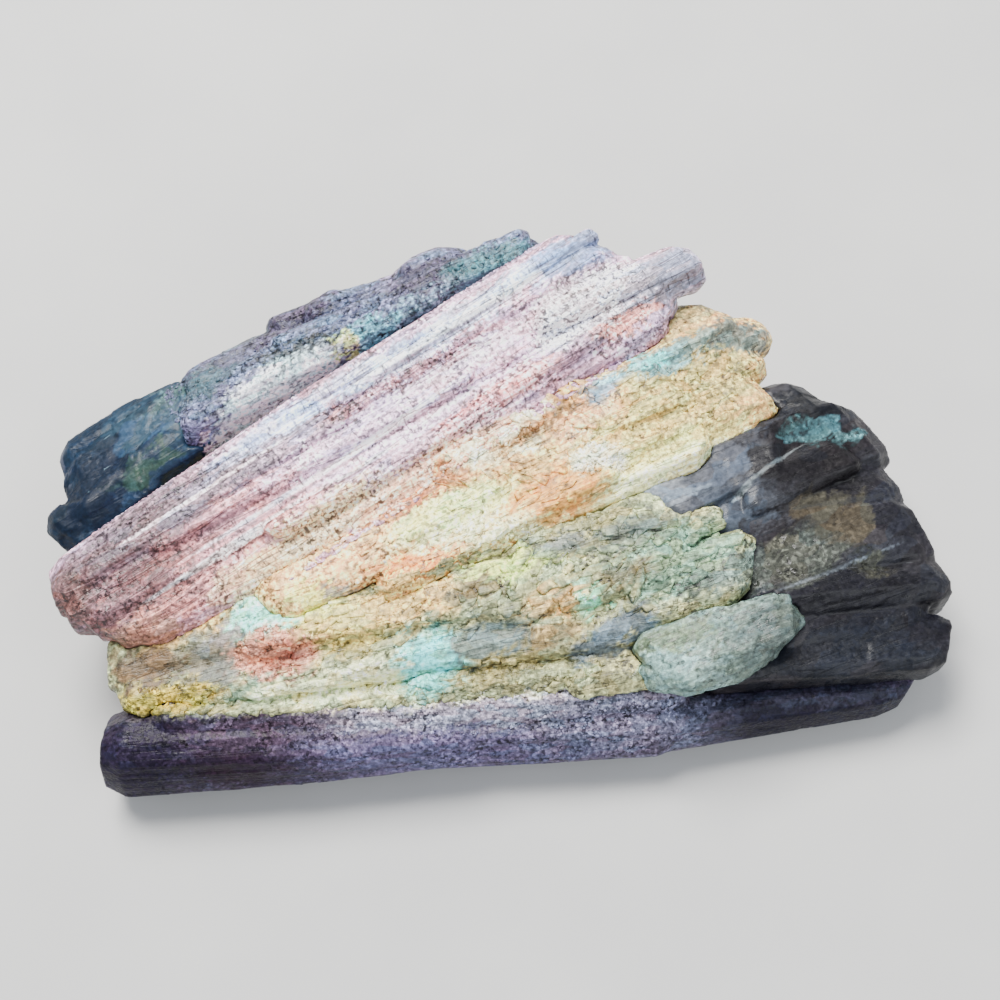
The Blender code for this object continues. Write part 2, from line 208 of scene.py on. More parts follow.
def finishPiece(piece, slot, material, *nodes):
    piece.data.materials.clear()
    piece.data.materials.append(material)
    piece.data.polygons.foreach_set("use_smooth", [True] * len(piece.data.polygons))
    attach(piece, "root")
    if nodes:
        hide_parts(*nodes)
    triangles = sum(len(face.vertices) - 2 for face in piece.data.polygons)
    print(piece.name, triangles, "triangles")


# Small repeats, joined into one mesh for each kind

def lookupOf(piece):
    return BVHTree.FromObject(piece, bpy.context.evaluated_depsgraph_get())


def drop(trees, start, way):
    # the nearest place and normal that a ray meets, and whose they are
    best = None
    for node, tree in trees.items():
        place, normal, _, distance = tree.ray_cast(start, way)
        if place is not None and (best is None or distance < best[3]):
            best = (place, normal, node, distance)
    return best


def grainShapes(kinds, seed, uneven):
    # a few uneven grains with flat faces, one millimetre across
    rng = random.Random(seed)
    shapes = []
    for kind in range(kinds):
        bm = bmesh.new()
        bmesh.ops.create_icosphere(bm, subdivisions=1, radius=0.5)
        for vert in bm.verts:
            vert.co *= 1 + rng.uniform(-uneven, uneven)
        mesh = bpy.data.meshes.new(f"grain{kind}")
        bm.to_mesh(mesh)
        bm.free()
        shapes.append(mesh)
    return shapes


def chipShapes(kinds, seed):
    # a few cleavage chips: blocks with broken ends, one millimetre each way
    rng = random.Random(seed)
    shapes = []
    for kind in range(kinds):
        bm = bmesh.new()
        bmesh.ops.create_cube(bm, size=1.0)
        bmesh.ops.bevel(bm, geom=bm.edges[:], offset=0.12, affect="EDGES", segments=1, profile=0.5, material=-1)
        slant = rng.uniform(-0.5, 0.5)
        for vert in bm.verts:
            vert.co.x += slant * vert.co.y
            vert.co *= 1 + rng.uniform(-0.08, 0.08)
        mesh = bpy.data.meshes.new(f"chip{kind}")
        bm.to_mesh(mesh)
        bm.free()
        shapes.append(mesh)
    return shapes


def flakeShapes(kinds, seed):
    # a few thin six-sided flakes, one millimetre across
    rng = random.Random(seed)
    shapes = []
    for kind in range(kinds):
        bm = bmesh.new()
        bmesh.ops.create_cone(bm, cap_ends=True, segments=6, radius1=0.5, radius2=0.44, depth=0.16)
        for vert in bm.verts:
            vert.co.x *= 1 + rng.uniform(-0.25, 0.25)
            vert.co.y *= 1 + rng.uniform(-0.25, 0.25)
        mesh = bpy.data.meshes.new(f"flake{kind}")
        bm.to_mesh(mesh)
        bm.free()
        shapes.append(mesh)
    return shapes


def scatter(name, host, shapes, look):
    # each spot: middle and half sizes in millimetres, its turn, how many, their sizes and how they lie
    rng = random.Random(look["seed"])
    joined = bmesh.new()
    for spot in look["spots"]:
        turn = math.radians(spot.get("turn", 0))
        hosts = spot.get("hosts", [host])
        for _ in range(spot["count"]):
            angle, reach = rng.uniform(0, 2 * math.pi), math.sqrt(rng.random())
            a = spot["half"][0] * reach * math.cos(angle)
            b = spot["half"][1] * reach * math.sin(angle)
            x = spot["middle"][0] + a * math.cos(turn) - b * math.sin(turn)
            y = spot["middle"][1] + a * math.sin(turn) + b * math.cos(turn)
            met = drop(treeOf, Vector((x, y, 60)) * mm, -up)
            if met is None or met[2] not in hosts or met[1].z < spot.get("steepest", 0.25):
                continue
            size = rng.uniform(*spot["size"]) * mm
            long = size * rng.uniform(*spot.get("long", (0.8, 1.3)))
            flat = size * rng.uniform(*spot.get("flat", (0.6, 1.0)))
            normal = (met[1] + Vector([rng.uniform(-1, 1) * spot.get("tilt", 0.4) for _ in range(3)])).normalized()
            if "grain" in spot:
                heading = math.radians(spot["grain"] + rng.uniform(-1, 1) * spot.get("stray", 10))
            else:
                heading = rng.uniform(0, 2 * math.pi)
            ahead = Vector((math.cos(heading), math.sin(heading), 0))
            across = normal.cross(ahead).normalized()
            ahead = across.cross(normal)
            lie = Matrix((ahead, across, normal)).transposed().to_4x4()
            middle = met[0] + met[1] * (flat * spot.get("proud", 0.1))
            place = Matrix.Translation(middle) @ lie @ Matrix.Diagonal((long, size, flat, 1))
            shape = rng.choice(shapes)
            shape.transform(place)
            joined.from_mesh(shape)
            shape.transform(place.inverted())
    piece = newPiece(name, joined)
    # a little over the middle, so every grain gets a faint painted highlight
    addAttribute(piece, "bulge", np.full(len(piece.data.vertices), 0.58))
    addAttribute(piece, "grit", np.full(len(piece.data.vertices), look["grit"]))
    addPaint(piece, zonesOf(pointsOf(piece.data), looks[host])[0] * look.get("lift", 1.0))
    return piece


# Materials

def seen(colour):
    # the paint that is seen as this colour under the studio's lights, which pale bright colours
    mean = max(sum(colour) / 3, 0.001)
    shown = [0.0, 0.05, 0.1, 0.2, 0.3, 0.4, 0.5, 0.6, 0.7, 0.8]
    paint = np.interp(mean, shown, [0.0, 0.010, 0.025, 0.066, 0.135, 0.23, 0.35, 0.51, 0.72, 0.93])
    power = np.interp(mean, [0.05, 0.3, 0.6], [1.5, 2.0, 2.9])
    return tuple(float(min(paint * (part / mean) ** power, 0.95)) for part in colour)


def rgba(colour):
    return (*seen(colour), 1.0)


def fill(tree, made, inputs):
    for socket, value in inputs.items():
        if isinstance(value, bpy.types.NodeSocket):
            tree.links.new(value, made.inputs[socket])
        else:
            made.inputs[socket].default_value = value


def add(tree, kind, inputs=None, **settings):
    made = tree.nodes.new("ShaderNode" + kind)
    for name, value in settings.items():
        setattr(made, name, value)
    fill(tree, made, inputs or {})
    return made


def use(tree, group, inputs):
    made = tree.nodes.new("ShaderNodeGroup")
    made.node_tree = group
    fill(tree, made, inputs)
    return made.outputs


def calc(tree, operation, *values):
    return add(tree, "Math", dict(enumerate(values)), operation=operation).outputs[0]


def vectorCalc(tree, operation, *values):
    return add(tree, "VectorMath", dict(enumerate(values)), operation=operation).outputs[0]


def scaled(tree, vector, factor):
    return add(tree, "VectorMath", {0: vector, "Scale": factor}, operation="SCALE").outputs[0]


def turned(tree, vector, angle):
    return add(tree, "VectorRotate", {"Vector": vector, "Angle": angle}, rotation_type="Z_AXIS").outputs[0]


def remap(tree, value, low, high, toLow=0.0, toHigh=1.0, smooth=True):
    inputs = {"Value": value, "From Min": low, "From Max": high, "To Min": toLow, "To Max": toHigh}
    kind = "SMOOTHSTEP" if smooth else "LINEAR"
    return add(tree, "MapRange", inputs, interpolation_type=kind).outputs["Result"]


def line(tree, value, middle, width):
    # a thin line where the value crosses middle
    return remap(tree, calc(tree, "ABSOLUTE", calc(tree, "SUBTRACT", value, middle)), width, 0.0)


def blend(tree, factor, first, second, mode="MIX"):
    return add(tree, "Mix", {0: factor, 6: first, 7: second}, data_type="RGBA", blend_type=mode).outputs[2]


def cloud(tree, vector, scale, detail=2.0, roughness=0.55):
    inputs = {"Vector": vector, "Scale": scale, "Detail": detail, "Roughness": roughness}
    return add(tree, "TexNoise", inputs).outputs


def parts(tree, colour):
    return add(tree, "SeparateColor", {0: colour}).outputs


def newGroup(name, inputs, outputs):
    group = bpy.data.node_groups.new(name, "ShaderNodeTree")
    for label, kind, value in inputs:
        socket = group.interface.new_socket(label, in_out="INPUT", socket_type="NodeSocket" + kind)
        if value is not None:
            socket.default_value = value
    for label, kind in outputs:
        group.interface.new_socket(label, in_out="OUTPUT", socket_type="NodeSocket" + kind)
    return group, group.nodes.new("NodeGroupInput").outputs, group.nodes.new("NodeGroupOutput")


def crystalGroup():
    # long crystals, each with a shade and a hue of its own
    group, given, out = newGroup(
        "crystals",
        [
            ("Vector", "Vector", None), ("Turn", "Float", 0.5), ("Along", "Float", 0.003),
            ("Across", "Float", 0.001),
        ],
        [("Shade", "Float"), ("Hue", "Float")],
    )
    push = vectorCalc(group, "SUBTRACT", cloud(group, given["Vector"], 330, 1, 0.6)["Color"], (0.5, 0.5, 0.5))
    shape = add(group, "CombineXYZ", {0: given["Along"], 1: given["Across"], 2: given["Across"]}).outputs[0]
    back = calc(group, "MULTIPLY", given["Turn"], -1.0)
    drawn = vectorCalc(group, "DIVIDE", turned(group, given["Vector"], back), shape)
    drawn = vectorCalc(group, "ADD", drawn, scaled(group, push, 0.7))
    random = parts(group, add(group, "TexVoronoi", {"Vector": drawn, "Scale": 1.0}).outputs["Color"])
    fill(group, out, {"Shade": random[0], "Hue": random[1]})
    return group


def grainLinesGroup():
    # streaks, thin ridges and seams along a grain that is turned about Z, and short breaks across it
    group, given, out = newGroup(
        "grainLines",
        [
            ("Vector", "Vector", None), ("Turn", "Float", 0.5), ("Pitch", "Float", 0.0006),
            ("Length", "Float", 0.02), ("Spacing", "Float", 0.002),
        ],
        [("Streaks", "Float"), ("Ridges", "Float"), ("Seams", "Float"), ("Breaks", "Float")],
    )
    place = turned(group, given["Vector"], calc(group, "MULTIPLY", given["Turn"], -1.0))
    fine = add(group, "CombineXYZ", {0: given["Length"], 1: given["Pitch"], 2: given["Pitch"]}).outputs[0]
    streaks = cloud(group, vectorCalc(group, "DIVIDE", place, fine), 1.0, 3, 0.62)["Fac"]
    long = calc(group, "MULTIPLY", given["Length"], 4.5)
    wide = add(group, "CombineXYZ", {0: long, 1: given["Spacing"], 2: given["Spacing"]}).outputs[0]
    bands = cloud(group, vectorCalc(group, "DIVIDE", place, wide), 1.0, 1, 0.5)["Fac"]
    short = calc(group, "MULTIPLY", given["Pitch"], 0.7)
    over = add(group, "CombineXYZ", {0: short, 1: given["Spacing"], 2: given["Spacing"]}).outputs[0]
    crossed = cloud(group, vectorCalc(group, "DIVIDE", place, over), 1.0, 1, 0.5)["Fac"]
    fill(group, out, {
        "Streaks": remap(group, streaks, 0.3, 0.7), "Ridges": line(group, bands, 0.53, 0.022),
        "Seams": line(group, bands, 0.44, 0.016), "Breaks": remap(group, crossed, 0.64, 0.70),
    })
    return group


def sugarGroup():
    # packed grains: each has its own shade, level and facing
    group, given, out = newGroup(
        "sugar",
        [("Vector", "Vector", None), ("Size", "Float", 0.0005)],
        [("Shade", "Float"), ("Level", "Float"), ("Facing", "Vector")],
    )
    place = scaled(group, given["Vector"], calc(group, "DIVIDE", 1.0, given["Size"]))
    cells = add(group, "TexVoronoi", {"Vector": place, "Scale": 1.0}).outputs
    random = parts(group, cells["Color"])
    facing = vectorCalc(group, "SUBTRACT", cells["Color"], (0.5, 0.5, 0.5))
    fill(group, out, {"Shade": random[0], "Level": random[1], "Facing": facing})
    return group


def crackGroup():
    # thin straight fractures that come and go
    group, given, out = newGroup(
        "cracks",
        [
            ("Vector", "Vector", None), ("Turn", "Float", 0.5), ("Size", "Float", 0.006),
            ("Width", "Float", 0.012), ("From", "Float", 0.57),
        ],
        [("Mask", "Float")],
    )
    place = turned(group, given["Vector"], calc(group, "MULTIPLY", given["Turn"], -1.0))
    shape = add(group, "CombineXYZ", {
        0: given["Size"], 1: calc(group, "MULTIPLY", given["Size"], 0.45), 2: given["Size"],
    }).outputs[0]
    drawn = vectorCalc(group, "DIVIDE", place, shape)
    full = calc(group, "ADD", given["From"], 0.06)
    gate = remap(group, cloud(group, drawn, 1.3, 3, 0.6)["Fac"], given["From"], full)
    edge = add(group, "TexVoronoi", {"Vector": drawn, "Scale": 1.0}, feature="DISTANCE_TO_EDGE").outputs["Distance"]
    fill(group, out, {"Mask": calc(group, "MULTIPLY", remap(group, edge, given["Width"], 0.0), gate)})
    return group


def reliefLightGroup():
    # painted highlight on edges that stand out and painted shade in hollow places, broken up by a speckle
    group, given, out = newGroup(
        "paintedReliefLight",
        [("Bulge", "Float", 0.5), ("Speckle", "Float", 0.5)],
        [("Edges", "Float"), ("PaintedShade", "Float")],
    )
    spread = calc(group, "MULTIPLY", calc(group, "SUBTRACT", given["Speckle"], 0.5), 0.6)
    value = calc(group, "ADD", given["Bulge"], spread)
    fill(group, out, {"Edges": remap(group, value, 0.56, 0.9), "PaintedShade": remap(group, value, 0.44, 0.1)})
    return group


crystals = crystalGroup()
grainLines = grainLinesGroup()
sugar = sugarGroup()
cracks = crackGroup()
paintedReliefLight = reliefLightGroup()


def mineral(name, look):
    material = bpy.data.materials.new(name)
    material.use_nodes = True
    tree = material.node_tree
    shader = tree.nodes["Principled BSDF"]
    place = add(tree, "TexCoord").outputs["Object"]
    turn = math.radians(look["turn"])
    crystal = use(tree, crystals, {
        "Vector": place, "Turn": turn, "Along": look["cell"][0] * mm, "Across": look["cell"][1] * mm,
    })
    grit = add(tree, "Attribute", attribute_name="grit").outputs["Fac"]
    bulge = add(tree, "Attribute", attribute_name="bulge").outputs["Fac"]
    speckle = cloud(tree, place, 1 / (look["speckle"] * mm), 2, 0.6)["Fac"]
    paintedRelief = use(tree, paintedReliefLight, {"Bulge": bulge, "Speckle": speckle})
    lines = use(tree, grainLines, {
        "Vector": place, "Turn": turn, "Pitch": look["pitch"] * mm, "Length": look["length"] * mm,
        "Spacing": look["spacing"] * mm,
    })
    grains = use(tree, sugar, {"Vector": place, "Size": look["grainSize"] * mm})
    cracked = use(tree, cracks, {
        "Vector": place, "Turn": turn, "Size": look["crackSize"] * mm, "Width": look["crackWidth"],
        "From": look["crackFrom"],
    })["Mask"]

    # the zones' paint, with a shade and a hue of its own for each crystal
    colour = add(tree, "Attribute", attribute_name="zone").outputs["Color"]
    hue = blend(tree, crystal["Hue"], (*look["hues"][0], 1), (*look["hues"][1], 1))
    colour = vectorCalc(tree, "MULTIPLY", colour, hue)
    shade = remap(tree, crystal["Shade"], 0, 1, 1 - look["cellShade"], 1 + look["cellShade"], False)
    streaks = remap(tree, lines["Streaks"], 0, 1, 1 - look["lineShade"], 1 + look["lineShade"], False)
    specks = remap(tree, speckle, 0.28, 0.72, 1 - look["speckleShade"], 1 + look["speckleShade"], False)
    spread = calc(tree, "MULTIPLY", calc(tree, "SUBTRACT", grains["Shade"], 0.5), calc(tree, "MULTIPLY", grit, look["grainShade"]))
    shade = calc(tree, "MULTIPLY", calc(tree, "MULTIPLY", shade, streaks), specks)
    shade = calc(tree, "MULTIPLY", shade, calc(tree, "ADD", spread, 1.0))
    colour = scaled(tree, colour, shade)

    # pale grains, partly painted glints, ridges and a painted highlight on standing edges, then pits, seams, breaks,
    # painted shade in hollow places and cracks
    fleck = calc(tree, "MULTIPLY_ADD", grains["Shade"], 0.3, calc(tree, "MULTIPLY", speckle, 0.7))
    dark = calc(tree, "MULTIPLY", remap(tree, fleck, look["pits"], look["pits"] - 0.09), grit)
    # pale grains: partly real white grains and partly painted glints
    pale = calc(tree, "MULTIPLY", remap(tree, fleck, look["specks"], look["specks"] + 0.09), grit)
    lift = calc(tree, "MULTIPLY_ADD", pale, look["paleGrainsAndGlints"], 1.0)
    lift = calc(tree, "MULTIPLY_ADD", lines["Ridges"], look["ridges"], lift)
    # painted highlight on edges that stand out
    lift = calc(tree, "MULTIPLY_ADD", paintedRelief["Edges"], look["edges"], lift)
    drop = calc(tree, "MULTIPLY_ADD", dark, -look["darkGrains"], 1.0)
    drop = calc(tree, "MULTIPLY_ADD", lines["Seams"], -look["seams"], drop)
    drop = calc(tree, "MULTIPLY_ADD", lines["Breaks"], -look["breaks"], drop)
    # painted shade in hollow places
    drop = calc(tree, "MAXIMUM", calc(tree, "MULTIPLY_ADD", paintedRelief["PaintedShade"], -look["hollows"], drop), 0.2)
    colour = scaled(tree, colour, calc(tree, "MULTIPLY", lift, drop))
    # painted shade in hollow places, tinted towards a darker colour of each mineral
    hollowShadeTint = calc(tree, "MULTIPLY", paintedRelief["PaintedShade"], look["hollowShadeTint"])
    colour = vectorCalc(tree, "MINIMUM", blend(tree, hollowShadeTint, colour, rgba(look["hollowShadeColour"])), (0.95, 0.95, 0.95))
    colour = blend(tree, calc(tree, "MULTIPLY", cracked, look["cracks"]), colour, rgba(look["crackColour"]))

    # relief finer than the mesh, and grains that face their own way
    height = calc(tree, "MULTIPLY", lines["Streaks"], look["lineDepth"])
    height = calc(tree, "MULTIPLY_ADD", speckle, look["speckleDepth"], height)
    height = calc(tree, "MULTIPLY_ADD", lines["Ridges"], look["ridgeDepth"], height)
    height = calc(tree, "MULTIPLY_ADD", lines["Seams"], -look["ridgeDepth"], height)
    facing = scaled(tree, grains["Facing"], calc(tree, "MULTIPLY", grit, look["sparkle"]))
    facet = vectorCalc(tree, "NORMALIZE", vectorCalc(tree, "ADD", add(tree, "NewGeometry").outputs["Normal"], facing))
    bump = add(tree, "Bump", {"Height": height, "Distance": mm, "Strength": 1.0, "Normal": facet})
    rough = remap(tree, speckle, 0.3, 0.7, *look["roughness"], False)
    rough = calc(tree, "MULTIPLY_ADD", calc(tree, "SUBTRACT", grains["Level"], 0.5), calc(tree, "MULTIPLY", grit, -0.3), rough)
    fill(tree, shader, {"Base Color": colour, "Roughness": rough, "Normal": bump.outputs["Normal"]})
    shader.inputs["IOR"].default_value = look["ior"]
    shader.inputs["Specular IOR Level"].default_value = look.get("gloss", 0.3)
    if look.get("milk"):
        shader.inputs["Subsurface Weight"].default_value = look["milk"]
        shader.inputs["Subsurface Radius"].default_value = look["milkReach"]
        shader.inputs["Subsurface Scale"].default_value = look["milkScale"] * mm
    if look.get("clear"):
        shader.inputs["Transmission Weight"].default_value = look["clear"]
        depth = add(tree, "VolumeAbsorption", {"Color": (*look["depthColour"], 1), "Density": look["depth"]})
        tree.links.new(depth.outputs[0], tree.nodes["Material Output"].inputs["Volume"])
    return material


# Rubellite sheaf

sheafShape = {"voxel": 0.285, "soften": 1, "swell": 0.14, "turn": 33.5, "climb": 5}
sheafLook = {
    "colours": [(0.53, 0.435, 0.485), (0.67, 0.585, 0.645)], "mottle": 4, "ragged": 1.0, "keep": 0.35,
    "cell": (4.0, 1.2), "cellShade": 0.26, "hues": [(1.14, 0.95, 0.90), (0.90, 0.99, 1.12)],
    "turn": 33.5, "pitch": 0.45, "length": 9, "spacing": 2.2, "lineShade": 0.15,
    "speckle": 0.6, "speckleShade": 0.42, "grainSize": 0.42, "grainShade": 0.7,
    "darkGrains": 1.15, "pits": 0.46,
    "paleGrainsAndGlints": 1.15, "specks": 0.56, "stipple": 1.3,
    "ridges": 0.9, "seams": 0.6, "breaks": 0.6, "hollowShadeTint": 0.2, "hollowShadeColour": (0.32, 0.20, 0.20),
    "cracks": 0.45, "crackColour": (0.26, 0.15, 0.14), "crackSize": 7, "crackWidth": 0.035, "crackFrom": 0.53,
    "hollows": 0.3, "edges": 0.3,
    "lineDepth": 0.07, "grainDepth": 0.07, "speckleDepth": 0.12, "ridgeDepth": 0.06, "sparkle": 0.6,
    "roughness": (0.28, 0.5), "ior": 1.62, "milk": 0.08, "milkReach": (1.0, 0.6, 0.6), "milkScale": 0.35,
    "grit": 0.62,
    "patches": [
        {"tint": (0.70, 0.63, 0.69), "at": (-14, 6.5), "half": (16, 5), "turn": 33},
        {"tint": (0.58, 0.41, 0.41), "at": (-36, -9.5), "half": (15, 6.5), "turn": 33, "grit": 0.5, "soft": 0.5},
        {"tint": (0.27, 0.16, 0.155), "at": (-48, -13.5), "half": (10, 6.5), "turn": 33, "grit": 0.6, "soft": 0.45},
        {"tint": (0.25, 0.205, 0.225), "at": (-43, -5), "half": (14, 3.6), "turn": 33, "soft": 0.5},
        {"tint": (0.36, 0.33, 0.37), "at": (-30, 2.6), "half": (13, 2.2), "turn": 33, "soft": 0.5},
        {"tint": (0.26, 0.17, 0.155), "at": (-54, -15.5), "half": (3.6, 3.6), "turn": 33, "grit": 0.6},
        {"tint": (0.46, 0.33, 0.27), "at": (-46, -19.8), "half": (7, 2.2), "turn": 30, "grit": 0.3},
        {"tint": (0.52, 0.35, 0.33), "at": (-38, -13.5), "half": (8, 1.6), "turn": 32, "grit": 0.6},
        {"tint": (0.97, 0.70, 0.56), "at": (-23, -6.8), "half": (14, 2.7), "turn": 31, "grit": 0.6},
        {"tint": (0.84, 0.63, 0.53), "at": (-7, 2.0), "half": (13, 2.3), "turn": 31, "grit": 0.7},
        {"tint": (0.76, 0.58, 0.57), "at": (-28, -6.2), "half": (9, 1.0), "turn": 33, "strength": 0.7},
        # thin straight pale lines along the prism ridges are painted highlights, and the thin dark lines beside them
        # painted shade
        {"tint": (0.95, 0.91, 0.93), "at": (-22, 1.0), "half": (19, 0.34), "turn": 33.5, "grit": 0.1, "straight": True},
        {"tint": (0.34, 0.26, 0.29), "at": (-21.6, 0.5), "half": (18, 0.22), "turn": 33.6, "strength": 0.7, "straight": True},
        {"tint": (0.92, 0.85, 0.84), "at": (-33, -8.2), "half": (13, 0.3), "turn": 33.2, "strength": 0.8, "straight": True},
        {"tint": (0.93, 0.86, 0.85), "at": (-24, -2.9), "half": (15, 0.28), "turn": 32.6, "strength": 0.8, "straight": True},
        {"tint": (0.40, 0.26, 0.24), "at": (-24, -3.4), "half": (13, 0.2), "turn": 32.6, "strength": 0.7, "straight": True},
        {"tint": (0.80, 0.78, 0.82), "at": (-36, -1.2), "half": (13, 0.3), "turn": 34.4, "strength": 0.8, "straight": True},
        {"tint": (0.75, 0.69, 0.73), "at": (-4, 15.6), "half": (9, 1.2), "turn": 33.5, "grit": 0.6},
        {"tint": (0.42, 0.27, 0.25), "at": (-11, 13.4), "half": (6, 0.9), "turn": 34, "grit": 1.0, "strength": 0.8},
        {"tint": (0.46, 0.30, 0.29), "at": (-19, 8.7), "half": (4.5, 0.8), "turn": 34, "grit": 1.0, "strength": 0.7},
        {"tint": (0.48, 0.34, 0.35), "at": (-3.6, 18.6), "half": (4, 0.8), "turn": 34, "grit": 1.0, "strength": 0.7},
        {"tint": (0.61, 0.65, 0.73), "at": (-24, 9.4), "half": (14, 1.6), "turn": 33.5, "grit": 0.3},
        {"tint": (0.68, 0.72, 0.79), "at": (-2, 22.8), "half": (20, 1.9), "turn": 33.5, "grit": 0.35},
        # thin straight pale lines along the prism ridges are painted highlights, and the thin dark lines beside them
        # painted shade
        {"tint": (0.90, 0.92, 0.97), "at": (-5, 20.2), "half": (16, 0.32), "turn": 33.5, "strength": 0.9, "straight": True},
        {"tint": (0.38, 0.34, 0.38), "at": (-5, 19.7), "half": (15, 0.2), "turn": 33.6, "strength": 0.7, "straight": True},
        {"tint": (0.92, 0.86, 0.92), "at": (-3, 11.6), "half": (14, 0.28), "turn": 33.0, "strength": 0.8, "straight": True},
        {"tint": (0.46, 0.32, 0.33), "at": (2, 14.2), "half": (10, 0.22), "turn": 33.4, "strength": 0.6, "straight": True},
        {"tint": (0.68, 0.58, 0.64), "at": (5, 17.4), "half": (9, 2.4), "turn": 33, "grit": 0.6},
        {"tint": (0.80, 0.60, 0.60), "at": (0, 10.6), "half": (9, 1.7), "turn": 33, "grit": 0.9},
        {"tint": (0.72, 0.48, 0.48), "at": (-2, 9.6), "half": (6, 0.8), "turn": 30, "grit": 0.9, "strength": 0.8},
        {"tint": (0.74, 0.74, 0.76), "at": (12, 23), "half": (8.5, 4.2), "turn": 30, "grit": 1.2},
        {"tint": (0.35, 0.41, 0.50), "at": (10, 30), "half": (7, 2.6), "turn": 25, "grit": 0.1},
        {"tint": (0.43, 0.44, 0.48), "at": (22.4, 27.2), "half": (6.4, 3.4), "turn": 30, "grit": 0.1},
        {"tint": (0.66, 0.47, 0.43), "at": (17.2, 21), "half": (4.6, 1.4), "turn": 33, "grit": 1.0},
    ],
}


def sheafRelief(along, across, rise, lean, grit):
    side = across + 0.4 * noise.noise((along * 0.04, across * 0.15, rise * 0.15))
    start = 5.3 * noise.cell((side * 0.85, 3.5, rise * 0.4))
    needle = noise.cell((along / 22 + start, side * 0.85, rise * 0.4))
    thread = noise.noise((along * 0.05, side * 2.0, rise * 2.0))
    ridge = max(0.0, 1 - abs(noise.noise((along * 0.018, side * 0.42, rise * 0.3))) / 0.05)
    cut = max(0.0, 1 - abs(noise.noise((along * 0.4, side * 0.15, rise * 0.15 + 9))) / 0.035)
    cutShare = max(0.0, noise.noise((along * 0.1, across * 0.1, 4.2)) * 2.2)
    sand = noise.fractal((along * 1.5, across * 1.5, rise * 1.5), 0.8, 2.0, 2)
    bare = 1 - 0.8 * lean
    return (0.21 * needle + 0.07 * thread + 0.19 * ridge) * bare - 0.12 * cut * cutShare + 0.05 * grit * sand


# Rubellite bar

barShape = {"voxel": 0.32, "soften": 1, "swell": 0.14, "turn": 4, "climb": -2}
barLook = {
    "colours": [(0.11, 0.095, 0.14), (0.20, 0.185, 0.245)], "mottle": 4, "ragged": 1.2, "keep": 0.4,
    "cell": (2.4, 0.8), "cellShade": 0.22, "hues": [(1.12, 0.92, 0.96), (0.90, 1.0, 1.10)],
    "turn": 4, "pitch": 0.45, "length": 7, "spacing": 1.8, "lineShade": 0.03,
    "speckle": 0.55, "speckleShade": 0.42, "grainSize": 0.4, "grainShade": 0.8,
    "darkGrains": 0.75, "pits": 0.46,
    "paleGrainsAndGlints": 1.0, "specks": 0.56, "stipple": 1.4,
    "ridges": 0.08, "seams": 0.3, "breaks": 0.1, "hollowShadeTint": 0.2, "hollowShadeColour": (0.06, 0.045, 0.07),
    "cracks": 0.4, "crackColour": (0.05, 0.03, 0.06), "crackSize": 8, "crackWidth": 0.035, "crackFrom": 0.56,
    "hollows": 0.15, "edges": 0.12,
    "lineDepth": 0.02, "grainDepth": 0.07, "speckleDepth": 0.12, "ridgeDepth": 0.02, "sparkle": 0.6,
    "roughness": (0.26, 0.5), "ior": 1.62, "milk": 0.06, "milkReach": (1.0, 0.7, 0.9), "milkScale": 0.3,
    "grit": 0.5, "gloss": 0.08,
    "patches": [
        {"tint": (0.42, 0.42, 0.45), "at": (-4, -27.3), "half": (25, 2.8), "turn": 4, "grit": 1.0, "soft": 0.5},
        {"tint": (0.66, 0.67, 0.56), "at": (-12, -25.6), "half": (28, 1.3), "turn": 4.6, "grit": 1.0, "soft": 0.5},
        {"tint": (0.23, 0.22, 0.30), "at": (-8, -32), "half": (19, 2.4), "turn": 3, "grit": 0.7, "soft": 0.5},
        {"tint": (0.27, 0.275, 0.33), "at": (18, -28.4), "half": (13, 3), "turn": 4, "grit": 0.9, "soft": 0.5},
        {"tint": (0.13, 0.105, 0.14), "at": (-31, -30), "half": (11, 2.6), "turn": 3, "grit": 0.8, "soft": 0.5},
        # the left end darker: its own dark colour and partly painted shade where the light falls off towards the end
        {"tint": (0.05, 0.028, 0.05), "at": (-33, -34.2), "half": (9, 2), "turn": 3, "grit": 0.3, "soft": 0.5},
        {"tint": (0.035, 0.028, 0.055), "at": (-46, -33), "half": (7, 7), "grit": 0.4, "soft": 0.5},
        {"tint": (0.012, 0.012, 0.028), "at": (44, -26.5), "half": (17, 5), "turn": 4, "grit": 0.1, "soft": 0.4},
        {"tint": (0.10, 0.105, 0.14), "at": (42, -24.2), "half": (14, 1.3), "turn": 5, "grit": 0.3, "strength": 0.7},
    ],
}


def barRelief(along, across, rise, lean, grit):
    side = across + 0.5 * noise.noise((along * 0.05, across * 0.2, rise * 0.2))
    start = 4.7 * noise.cell((side * 0.9, 3.5, rise * 0.5))
    needle = noise.cell((along / 16 + start, side * 0.9, rise * 0.5))
    thread = noise.noise((along * 0.07, side * 1.9, rise * 1.9))
    wave = noise.noise((along * 0.14, side * 0.3, rise * 0.3))
    sand = noise.fractal((along * 1.4, across * 1.4, rise * 1.4), 0.8, 2.0, 2)
    return (0.08 * needle + 0.015 * thread) * (1 - 0.8 * lean) + 0.18 * wave + 0.10 * grit * sand


# Feldspar columns

